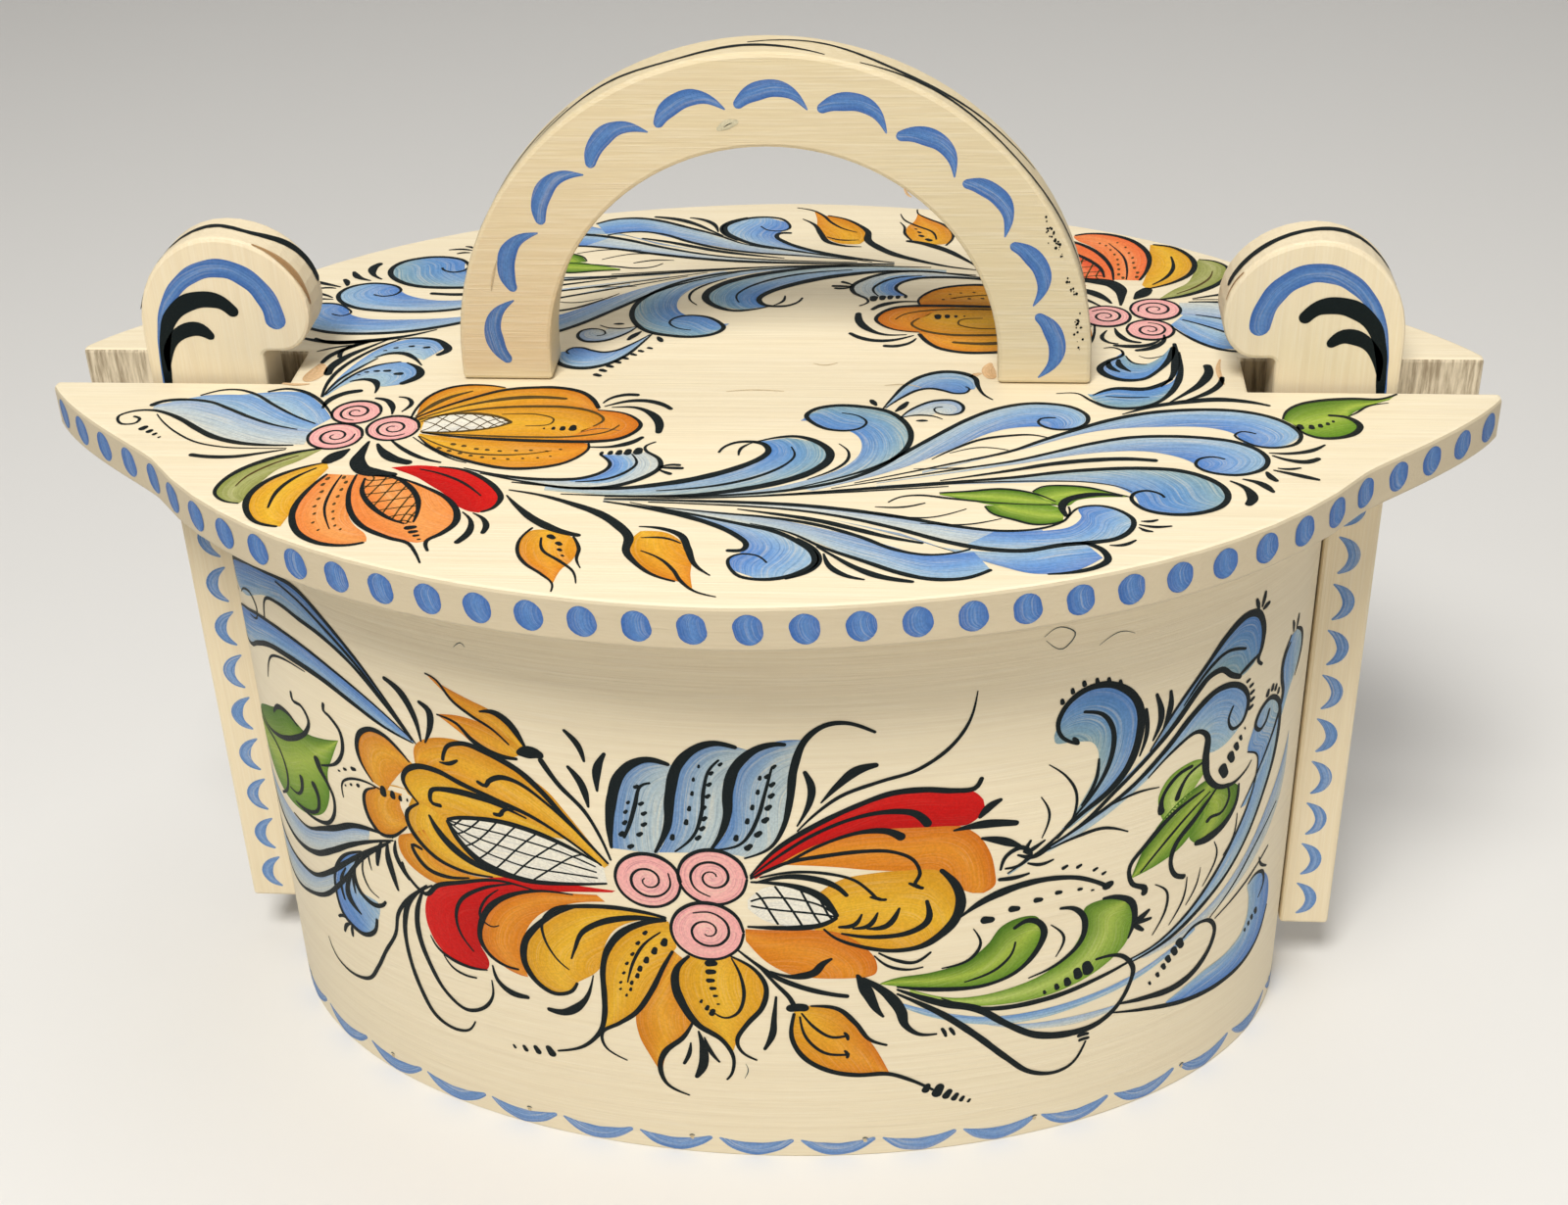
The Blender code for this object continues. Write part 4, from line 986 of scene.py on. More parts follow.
    (0.5, 1.4, 2.2, 0.8, "110.6,-53 114.4,-55 116.9,-59.1"),
    (0.5, 1.4, 2.8, 1.6, "107.8,-53.9 111,-57.2 112,-61.7 110.4,-65"),
    (0.4, 1.2, 0.5, "86.7,-73.9 90,-74.8 93.8,-74.3"),
    (0.3, 1.2, 0.5, "87.2,-72.4 89.4,-72.4 91,-71.6"),
    (0.3, 1.2, 0.5, "86.6,-75 88,-76.4 89.6,-76.8"),
    (0.4, 1.3, 0.5, "80,-82.8 83,-82.6 85.8,-80.4"),
    (2.0, 2.6, 1.4, 0.4, "107.8,5 108,0.4 105.4,-6 101.2,-11.4 97.4,-15.8"),
    (1.2, 2.0, 0.4, "111,-1.7 110,-6 106.7,-10.6 100.4,-15.2"),
    (0.4, 1.8, 2.4, 0.8, "86,-22.2 93.3,-18 101,-15.4 108.9,-14 115.6,-15 120.8,-17.1"),
)
LID_UMBER = (
    (0.4, 1.9, 0.5, "-80.9,-26.9 -77.6,-20 -74.2,-16.1 -69.6,-12.9"),
    (0.4, 0.8, 2.0, 1.0, "-79.8,-28 -74.2,-23.5 -67.6,-19.6 -59.8,-16.7 -53,-15.9 -45.9,-16.7"),
    (
        0.4, 1.0, 1.3, 0.5,
        "-79.8,-28.6 -72,-24.6 -63,-21.9 -54.2,-20.9 -45.3,-21.1 -39.8,-22.8 -36.4,-25.6 -35.6,-27.8 "
        "-37.6,-31",
    ),
    (0.4, 1.0, 1.4, 0.6, "-79,-29.6 -74.2,-25.9 -67.6,-24.9 -60.9,-26.5 -57.1,-29.2"),
    (0.4, 1.0, 0.5, "-78,-34.5 -72,-34.6 -65.3,-33.4 -60.9,-31.9 -57.1,-29.4"),
    (0.3, 0.6, 0.3, "-60.3,-25.2 -52,-25 -47.6,-27.2 -48,-30 -53.7,-31"),
    (0.3, 1.0, 0.4, "-77.6,-35 -66,-36 -54,-36.6 -42,-36.2 -34,-33.6 -31.4,-30"),
    (0.3, 0.8, 0.3, "-77.6,-36.7 -72,-41 -65.3,-44.6 -57.6,-45.6 -50.9,-45 -45.3,-43.2"),
    (0.3, 0.8, 0.3, "-103.8,-47 -109,-51.4 -113,-57 -114.4,-62"),
)
LID_DOTS = (
    ("-144.9,-34 -142.9,-35.6 -141.2,-37 -139.6,-38.6", 2.4, 0.9, (0.5, 0.8), "ink"),
    ("-42.2,-31.8 -44.6,-32.1 -46.8,-32.1 -49,-32.2", 2.6, 0.7, (0.0, 1.0), "ink"),
    (
        "-71.8,-42.6 -69.2,-43.9 -66.4,-45 -63.7,-46.1 -60.9,-46.8 -58,-47.4 -54.8,-47.6 -51.4,-47.2 "
        "-48,-46.8 -45.2,-46",
        1.5, 0.8, (0.7, -0.3), "umber",
    ),
    (
        "-68.9,-40.6 -66.2,-41.4 -63,-42.8 -60.4,-43.2 -57.4,-43.7 -53.6,-43.4 -50.2,-43.2 "
        "-46.4,-43.6 -43.4,-42.6",
        1.5, 0.9, (0.8, -0.2), "umber",
    ),
    (
        "-94.2,-57.8 -94.6,-60.6 -94,-63.9 -93.9,-67.2 -93.9,-70.6 -93.1,-73.9 -92.4,-77.8 -90.4,-81",
        1.3, 0.8, (0.3, 1.0), "umber",
    ),
    (
        "-90.6,-57.2 -89.6,-59.4 -89.8,-62.8 -89.8,-66 -89.8,-69.4 -89.2,-72.8 -88.3,-76 -87.2,-79 "
        "-85.6,-80.6",
        1.3, 0.8, (0.1, 1.0), "umber",
    ),
    ("-70.4,-79.4 -69.4,-81.2 -68.4,-82.8 -67.4,-84.4", 2.4, 0.8, (1.0, 0.3), "ink"),
    ("-38.9,-82.6 -36.8,-85.4 -36.2,-88 -35.2,-90.4", 2.2, 0.9, (0.7, -0.7), "ink"),
    ("-33.6,-44.2 -31.6,-44 -29.6,-43.8 -27.6,-43.5 -25.3,-43", 1.4, 3.0, (0.1, 1.0), "ink"),
    ("126.3,-27.7 128.9,-27.7 131,-27 132.8,-26 134.2,-24.8", 2.4, 1.0, (0.0, 1.0), "ink"),
)

# The sprays by the roses differ: the first at the right, the second at the left, half a turn round
LID_SPRAYS = (
    (
        (
            (
                "teal", 0.0,
                "88.4,12 86,8.6 83,5 81.8,1.6 84,-2 88,-3.6 92,-3 95.6,1 99,7 100.6,14",
                "88.4,12 88.6,9 89.4,7 90.6,5.4 92,5 93.6,5.2 95.6,7 97,9 98.4,11.4 99.8,14.6",
            ),
            (
                "teal", 0.0,
                "100.4,2 99.2,-4 95.6,-7.8 92.6,-9 88.6,-8.8 85,-8.4 82,-10 79.4,-12",
                "101,2 100,-5 97,-12 93,-16.4 88,-18.4 83.4,-17.8 80,-15 78.4,-11.6",
            ),
        ),
        (
            (
                0.4, 1.2, 1.6, 2.0, 1.6, 1.2, 1.0, 1.4, 1.8, 1.2,
                "87.6,12.6 88,10 84.4,6.6 82,2.6 83,-1 87,-3.9 92,-3.4 96,1.4 99,7.6 100.6,15",
            ),
            (0.3, 0.7, 0.6, 0.4, "83.4,13.8 86,14.2 88,12 87.6,9.6"),
            (0.8, 2.1, 0.5, "84.4,6.2 84.4,3.2 86.8,0.4"),
            (0.8, 2.1, 0.5, "86.8,7.6 86.9,4 89.4,0.6"),
            (0.3, 0.8, 0.4, "88.6,9.6 90.4,5.4 93.6,4.8"),
            (0.2, 0.5, 0.2, "91.8,9.6 94,8.2 98,10"),
            (0.4, 1.4, 2.0, 1.6, 1.0, "79.6,-12.4 82.6,-9.8 85.4,-8.6 92.6,-8.6 99,-3"),
            (0.4, 1.2, 2.2, 1.8, 1.0, "96,-7.6 99,-2 100.2,4 100.8,10 101,17"),
            (
                0.3, 0.6, 1.4, 1.3, 1.0, 1.6, 1.8, 1.0, 0.5,
                "71,-11.6 76,-11.4 79,-15 83,-18.4 88.6,-19 94,-16.4 98.4,-10 101.2,0 101.8,12",
            ),
            (0.3, 0.8, 0.3, "82.6,-12.8 88,-13.4 93,-13"),
            (1.0, 2.0, 1.6, 0.5, "85.8,15.6 90,15 94,15.6 97.6,18.6"),
            (1.2, 1.9, 1.4, 0.5, "91,12.6 95,14 98.4,18 98.8,22"),
        ),
        (),
    ),
    (
        (
            (
                "sky", 0.0,
                "106,17 105,8 102.6,-1 99,-9.5 95,-14.6 90,-16.6 85,-15.6 81.6,-11.4",
                "105.6,17 103.4,8 100.4,0 97.6,-5.4 93.6,-7.8 90.4,-7.4 88,-5.6 85.6,-4.2",
            ),
            (
                "sky", 0.0,
                "105.6,16 103.6,9 100.6,3 97,-0.8 92,-2.8 87.6,-1.6 85,1.6 84.8,5 87,8.6 89.4,10",
                "105,16 103.6,12.6 102,10 99.6,7.6 97.8,6.8 96,7.2 95,8.4 94.2,9.6 93,10.8 91.8,10.8",
            ),
        ),
        (
            (0.4, 0.9, 1.2, 1.8, 2.4, 1.2, "95,-16 90,-17 85,-16 82,-13 80.7,-10 83,-6.8"),
            (0.4, 1.2, 1.9, 1.0, 0.4, "98.4,-5.2 95,-7.8 91.4,-7.8 88.4,-5.4 85.4,-1"),
            (0.6, 1.1, 1.3, 1.0, 0.5, "106.2,17 106.6,8 105,0 100.4,-9 94,-16.4"),
            (0.4, 0.9, 0.9, 0.4, "106,17 104.4,8 101,1 97.4,-5"),
            (0.5, 1.8, 2.4, 1.4, "89.6,-2.6 85.6,1 84.8,4.8 88.6,9.6"),
            (0.5, 1.2, 2.0, 1.2, 0.4, "101.4,8.4 98,7 95.2,8 93.8,11 93.6,14.6"),
            (0.4, 0.8, 1.0, 0.5, "105.6,16 101,4 96.6,-0.9 91,-3"),
            (0.8, 1.7, 1.8, 1.2, 0.4, "116.6,-16.6 112,-14 106,-14.2 100,-15.2 96,-17"),
            (1.2, 1.3, 1.4, 0.4, "107.2,-5 107.6,-9 105,-12.6 100,-15.6"),
            (0.4, 1.0, 0.4, "114,-8.6 110,-11 104,-13"),
            (0.6, 1.8, 2.0, 1.6, "104.4,23 103.8,18.4 101,14.8 96.8,13.2"),
        ),
        (
            ("96.6,-9.4 94.2,-11 90.4,-12 86.4,-11.4", 0.9, 1.7, (1.0, 0.2), "ink"),
            ("100,4.6 98.4,3 96,2.4 93.4,2.2 90.2,3.8", 0.8, 2.2, (1.0, 0.1), "ink"),
            (
                "40.6,3.6 39.6,1 38.2,-1.4 36.6,-3.8 35,-6 33.2,-8.2 31.6,-10.2 29.6,-12",
                2.1, 1.5, (-0.9, 0.5), "ink",
            ),
        ),
    ),
)
LID_SIDES = (
    (1, "front", {}, "peach", LID_SPRAYS[0]),
    (-1, "back", {"peach": "ember"}, "coral", LID_SPRAYS[1]),
)
LID_DOT_SIZE = 1.05


def paint_lid():
    """The cluster twice, the second turned half round the lid's middle, with some paints changed."""
    for turn, name, changes, pod_paint, spray in LID_SIDES:
        sheet = Sheet(lambda x, y, lift, turn=turn: lid_chart(turn * x, turn * y, lift))
        shapes, curves, spots = spray
        fills(sheet, [(changes.get(paint, paint), *rest) for paint, *rest in LID_FILLS + shapes])
        seed = fill(sheet, ["white"], *LID_SEED)
        crosshatch(sheet, seed, 6, 0.3, 0.35, "umber")
        pod = fill(sheet, [pod_paint], *LID_POD)
        crosshatch(sheet, pod, 7, 0.22, 0.45, "umber")
        for x, y, radius, start in LID_ROSES:
            rose(sheet, x, y, radius, start)
        lines(sheet, LID_UMBER, "umber")
        lines(sheet, LID_LINES + curves)
        for text, first, last, lean, paint in LID_DOTS + spots:
            dots(sheet, text, first * LID_DOT_SIZE, last * LID_DOT_SIZE, lean, paint)
        sheet.build(f"lid_painting_{name}", "lid")


# The side's painting after the photographed box, as lengths along it from its back's middle, and heights
BAND_ROSES = ((331.1, 88.7, 8.0, 2.4), (346.7, 91.0, 8.2, 0.2), (344.7, 74.4, 8.8, 4.0))
BAND_FILLS = (
    (
        "blue", 0.0,
        "273.7,117 265.3,128.7 258.7,136.4 249.8,144.2 242,149.2 236.4,150.3 226.4,149.2 218.7,147.6 "
        "212,145.3 205,142.4 199,138.8 194.6,134.4",
        "272.6,117.6 264.2,127.6 256.4,134.8 247.6,139.2 239.8,140.9 232,142 225.3,141.4 219,138.6 "
        "213,135.4 207,133.6 201,133 194.8,134",
    ),
    (
        "blue", 0.0,
        "273,117.6 262,124.8 250.9,129.8 239.8,132.9 228.7,133.7 218.7,132.6 211,130.3 204.6,128 "
        "199,125.2 194.8,121",
        "273,117 264.2,119.2 254.2,123.1 245.3,125.9 234.2,127 223,125.9 214,122 207.6,118.4 201,117 "
        "195,120.4",
    ),
    (
        "green", 0.0,
        "247.6,108.7 241,106.4 234,105 229.8,106.2 223,107.4 217,104.2 210,101 203,96.6 198.6,90.6",
        "247.4,108.4 244,102 241,96 240,88 236,81 228,76.4 216,75.4 206,79.4 198.8,89.8",
    ),
    (
        "mist", 0.0,
        "254,84 247.6,81.8 240.9,77.8 234.2,74.3 226.4,70.8 218.7,70.8 210,72.4 202,75 195.6,79.4",
        "253,80 245.3,75.3 237.6,69.8 228.7,64.6 218.7,62.4 211,63.4 204,67 199,72 195.6,78.8",
    ),
    (
        "mist", 0.0,
        "243,68.7 234.2,60.9 225.3,55 215.3,53.6 207,54.4 200,57 195,61.4",
        "239.8,60.9 229.8,51.4 220.9,46.9 212,44.2 205,45.4 199,50.6 195.2,60.6",
    ),
    (
        "blue", 0.0,
        "248.7,74.2 242,69.8 237.6,63.1 235.6,56.4 237,49.8 240.9,46.4 245.3,45.9",
        "249.4,74 247,70 245.4,65 247,61 253,59.8 251.4,53 246.6,46.4",
    ),
    (
        "amber", 0.0,
        "258,100.3 254.8,105.3 254.2,109.8 255.9,114.2 259.8,116.8 264.2,116.4 268.7,113.1 "
        "271.6,110.7",
        "262,99 263,100.4 264,102 265.4,103.8 266.6,105.4 268,107 270,108.8 271.8,110.2",
    ),
    (
        "amber", 0.0,
        "262,99.6 258,98.9 254.8,96.4 253.7,92.6 254.8,87.6 258,84.4 262,85.3 265.3,88.1 267.4,90.4",
        "267,100 266.6,99 266.2,98 266,97 266,96 266.2,95 266.6,94 267,92.6 267.4,91.4",
    ),
    (
        "yellow to amber", 0.0,
        "321.7,92 312,106.4 307.6,112 299.8,117 292,120.3 284,121.4 276.4,119.2 273,115.9 272.6,110.9",
        "320,90.6 312,98.1 303,102 294.2,104.6 288,107 283,109 279,110.4 275.4,111 273,110.6",
    ),
    (
        "amber", 0.0,
        "272.4,91 268,88.4 264,86 263.6,81.6 266,78 271.6,75.2 278,74.9 285,76.4 294,81",
        "274,88 273,85.6 274,84 276,82.6 279,81.4 283,80.8 288,81 292,82 296,83.4",
    ),
    (
        "yellow", 0.0,
        "262,101 266,102 270,101 268.5,96.6 267.4,92 269.5,87.4 275.3,83 283,81.2 292,81.8",
        "274,103 276,101 279,98.6 280.2,95.6 281.4,92 283.4,89 286,87 289,85.4 297,83.4",
    ),
    (
        "yellow", 0.0,
        "314,98 303,102.4 294,105.6 285.3,108.6 278.7,110.6 273,110.3 269,107.8 267.8,104 269,100.6",
        "304,98.2 300,99.2 296,99.6 290,99.2 285,98.4 281,97 278,97.4 275,98.6 271.6,99.6",
    ),
    (
        "red", 0.0,
        "322.8,84.4 312,84.4 300.9,83.9 294.2,82.8 287.6,80.5 280.9,77.2 274.2,73.8 270.9,70.3 "
        "269.2,65.3 269.2,59.8 271.4,54.2 275.3,50.9 280.9,49.8",
        "322,83.8 314,82.6 305,80.8 297,78.4 291,74.8 287,70.6 285,66 284.6,61 285,58 286,56 "
        "286.7,53.6 286,51.2 284,50.2",
    ),
    (
        "orange", 0.0,
        "318,82.4 311,81.6 303,80.7 295.3,77.6 289.8,73.1 286.4,67.6 285,60.9 287,56.4 290.9,53.4 "
        "294.6,52 297.4,51.8",
        "320,80.6 314,79.4 308,77 303,73.6 300,70 298,66 296.8,61 296.6,58 296.8,56 297,54 297.4,52",
    ),
    (
        "yellow", 0.0,
        "334,78 322,79 312,77.6 306.4,74.2 300.9,68.7 297.6,63.1 297,56.4 299.8,50.9 304.2,48.3 "
        "307.6,49.2",
        "335,77 328,76 322,72.4 319,67 318.2,63 317.6,60 315.4,57 313,55 311,53.4 309.4,51",
    ),
    (
        "amber", 0.0,
        "336,67.6 330,54.2 325.6,46.4 325.8,38.7 328.3,32 330.9,26.4",
        "338.3,65.3 336,57 338,49 339.6,44.4 333,34.6 330.9,26.4",
    ),
    (
        "yellow", 0.0,
        "335.4,76.6 328.9,75.3 323.3,71.4 319.4,65.3 317.8,58.7 317.6,50.9 317.2,44.2 316,38.4",
        "337,68.8 334.4,64 331.6,57.6 328.6,51.6 325.4,46.4 321.8,42.6 318.6,40.2 316.2,38.2",
    ),
    (
        "yellow", 0.0,
        "340,66.4 336.9,62 336.2,56.4 337.8,49.8 341,44.2 345.6,40.6 349.2,36.2",
        "350,66.8 355.6,63.1 358.3,57.6 357.2,50.9 353.3,45.3 350.8,40.4 349.6,36.4",
    ),
    (
        "feather", 0.0,
        "323,97.4 322.8,104.2 323.9,112 326,118.7 329.4,122.6 333.3,124 338.3,123",
        "334,97 336.6,103 337.2,108 338,113 339,117 340,120.6 341,123",
    ),
    (
        "feather", 0.0,
        "333.6,97.4 336.7,105.3 337.8,114.2 340,123 344.4,128.1 348.9,129.6 355,128.6",
        "348,98.6 350.6,106 351.2,112 351.6,118 353,122.6 354.6,125.6 356.8,128",
    ),
    (
        "feather", 0.0,
        "347,99.2 351,106 351.4,114 353.3,123.1 357.8,128.1 363,130.6 368,131",
        "355,97.4 361,100.6 364.2,107 365.8,114.2 366.7,121 368,126 369.8,130.6",
    ),
    (
        "orange", 0.0,
        "361,97.6 374,103.4 384,105.4 394,105 403.3,104.4 408.9,100.9 412.2,95.3 413.7,88.7 "
        "413.7,84.6 411,82.8",
        "362,95.4 374,94.6 384,93 392,92 398,91.6 401,90.4 403,88.6 404.4,86.6 406,84.6 408.4,83.2",
    ),
    (
        "red", 0.0,
        "355.6,91.4 362.2,99.4 371,106 380,111 388.9,114.4 396.7,114.9 403.3,114 407.8,113.4 "
        "410.4,110.6",
        "357,91 363,95.8 370,100.4 378,103.4 386,104.8 394,104.6 401,104.2 407,104 411,107.4",
    ),
    (
        "yellow", 0.0,
        "370,85 376.7,90.4 384.4,92 392.2,92.2 400,91.2 404.4,86.4 405.6,80.9 403.9,75.3",
        "368,77 372,74.8 376,73 380,70.9 387.8,68.1 394.4,68.3 400,70.9 402.6,73.4",
    ),
    (
        "orange", 0.0,
        "353.9,75.6 362.2,75.4 371,75.4 376.7,74.2 382.2,69.8 385,65.3 385,61.2 382.2,60",
        "353.9,72 357.8,66.4 361,63.6 364.4,61.6 367.8,60.7 372,60.2 377,60 381,60",
    ),
    (
        "orange to yellow", 0.0,
        "279.4,138.6 284.2,136.2 289.8,134.2 296.4,131.8 300.9,127.6 304.2,122",
        "280,138 284.2,134.2 289.8,129.4 296.4,126.2 300,124 304,122",
    ),
    (
        "orange to yellow", 0.0,
        "281,127.7 287.6,128.7 294.2,127.6 300.9,124.2 303,121.8",
        "281.6,127.2 286.4,124.2 292,120.4 298.7,119.4 302,120.9",
    ),
    (
        "yellow to orange", 0.0,
        "366.7,50.9 372.2,51.6 377.8,48.5 381,43 384.4,37.4 388.3,27.9",
        "365,49.8 364.6,42 367,35.3 372.2,31 378.9,28.7 388,27.9",
    ),
    (
        "teal", 0.3,
        "416.7,87.8 426.7,94.6 434.4,101.2 442.2,106.8 446.7,112.4 448.8,119.8 448.4,127.6 "
        "445.3,132.8 440,136.2 434.4,136.2 430.2,133.4 428,128.7",
        "417,87 425,92.6 431,98.6 435,105.3 438,112 438.4,118 436.6,121.4 433.6,122.4 430.6,122.8 "
        "427.6,123.2 427,125 427.4,127",
    ),
    (
        "teal", 0.3,
        "430,98 452.2,114.2 458.9,124 466.7,132.9 473.3,139.6 478.9,142.2 483.3,141 485.8,136.4 "
        "485.6,130.9",
        "432,97.6 452.2,113.1 458.9,119.8 465.6,127.6 468.6,130 472.2,130 475.6,127.4 479,125.6 "
        "483.6,127.4",
    ),
    (
        "sky", 0.3,
        "425,92 436.7,98.6 447.8,105.3 456.7,113.1 464.4,120.7 471,124.6 476.7,124 481,120.7 "
        "482.6,116.4",
        "427,92 440,98 452.2,106.2 458.9,111.8 465.6,115 468.6,113 470,107.4 475,107.2 481,111",
    ),
    (
        "lime", 0.0,
        "457.6,92 456.7,94.2 455.8,99.8 458.9,104.8 465.6,106.7 469.2,105.6",
        "463,92 464,94 465,96 466.4,98 468,100 469.6,102",
    ),
    (
        "green", 0.0,
        "470,99 463,96.6 457.5,92.2 453,86 449.6,77.6",
        "474.6,95.4 470,88 464,81.6 458,79 450,77.2",
    ),
    (
        "green", 0.0,
        "474.4,95.3 480,93.8 482.4,91 481.2,85.6 477,81.2 472,80.4",
        "470,93 468,90 466.6,87 466,84.6 466.6,82.6 468,81",
    ),
    (
        "sky", 0.2,
        "450.6,50.9 458.9,53.4 467.8,59 475.6,66.8 482.2,75.7 486.7,83.5 489.2,91 488.9,97.6 "
        "484.6,101 485.6,106 488.4,111.6",
        "451,50 462.2,52.9 472.2,58.5 481,65.1 487.8,72.9 493.3,82.9 497.2,93 498.1,103.1 496.5,109.6 "
        "492.4,112.8 490,112.6",
    ),
    (
        "mist", 0.3,
        "454,50 466,53.4 478,58.8 488,67 496,77 503,88 505.6,96",
        "456,49.6 470,52 482,56.6 492,62.6 500,70 505.4,80 505.8,95",
    ),
    (
        "sky", 0.0,
        "390,51.6 398.9,47.6 412.2,43.3 425.6,42.2 440,43.2 452.2,45.4 462.2,48.8 471,52.8",
        "390,50.6 398.9,45.4 412.2,40.8 425.6,39.4 440,40.8 452.2,43.2 462.2,47 471,51.6",
    ),
    ("mist", 0.0, "412,41 424,38.4 436,37.4 448,37", "414,40 424,36.6 436,34.8 446,35.4"),
    (
        "green", 0.0,
        "386,57.8 390,59.2 398.9,60 406.7,62 412.2,66.4 415.6,71.4 420,73.3 424.4,72.8 426,69.8",
        "386,57.6 390,56.6 398.9,54.8 407.8,53.8 415.6,54.4 422.2,57.8 425.4,63.1 426.2,66.4 "
        "426.4,68.4",
    ),
    (
        "lime to green", 0.0,
        "393.3,55.3 404.4,50.9 417.8,51.2 428.9,54.8 434.4,59.8 437.2,66.4 437.2,72 442.2,73.1 "
        "447.8,70.9",
        "393.3,54.4 404.4,48.7 417.8,46.4 431,47 442.2,50.9 448.9,56.4 451,62 450.8,66 449,69.8",
    ),
    (
        "blue back", 0.0,
        "463.3,31.4 474.4,35.3 484.4,37 490,39.8 492.2,44.2 492,50.9 491,55.6 494.4,57",
        "463.3,31 472,28.8 482.2,27.9 493.3,29.2 500,33 503.6,41 502.6,50 498.3,55.6",
    ),
    (
        "sky", 0.0,
        "484,84 491,94 496,103 498.6,111 497.4,116 497.2,122 500,127",
        "486,84 493,94 498.6,103 502,110 506,116 507.4,122 503.6,127.4",
    ),
)
BAND_SEED_LEFT = (
    "320.4,91.2 312,95.9 304.2,98.4 296.4,99.4 289.8,99 283,97.6 279.8,96.4",
    "321,86.4 312,84.9 300.9,83.6 294.2,84.4 287.6,86.6 282.6,91 279.8,96.2",
)
BAND_SEED_RIGHT = (
    "354.8,84.6 359.4,88.6 366.7,88.4 372.2,85.3 376,79.4",
    "354.8,82 359.4,78 366.7,76.6 372.2,77.2 376,79",
)
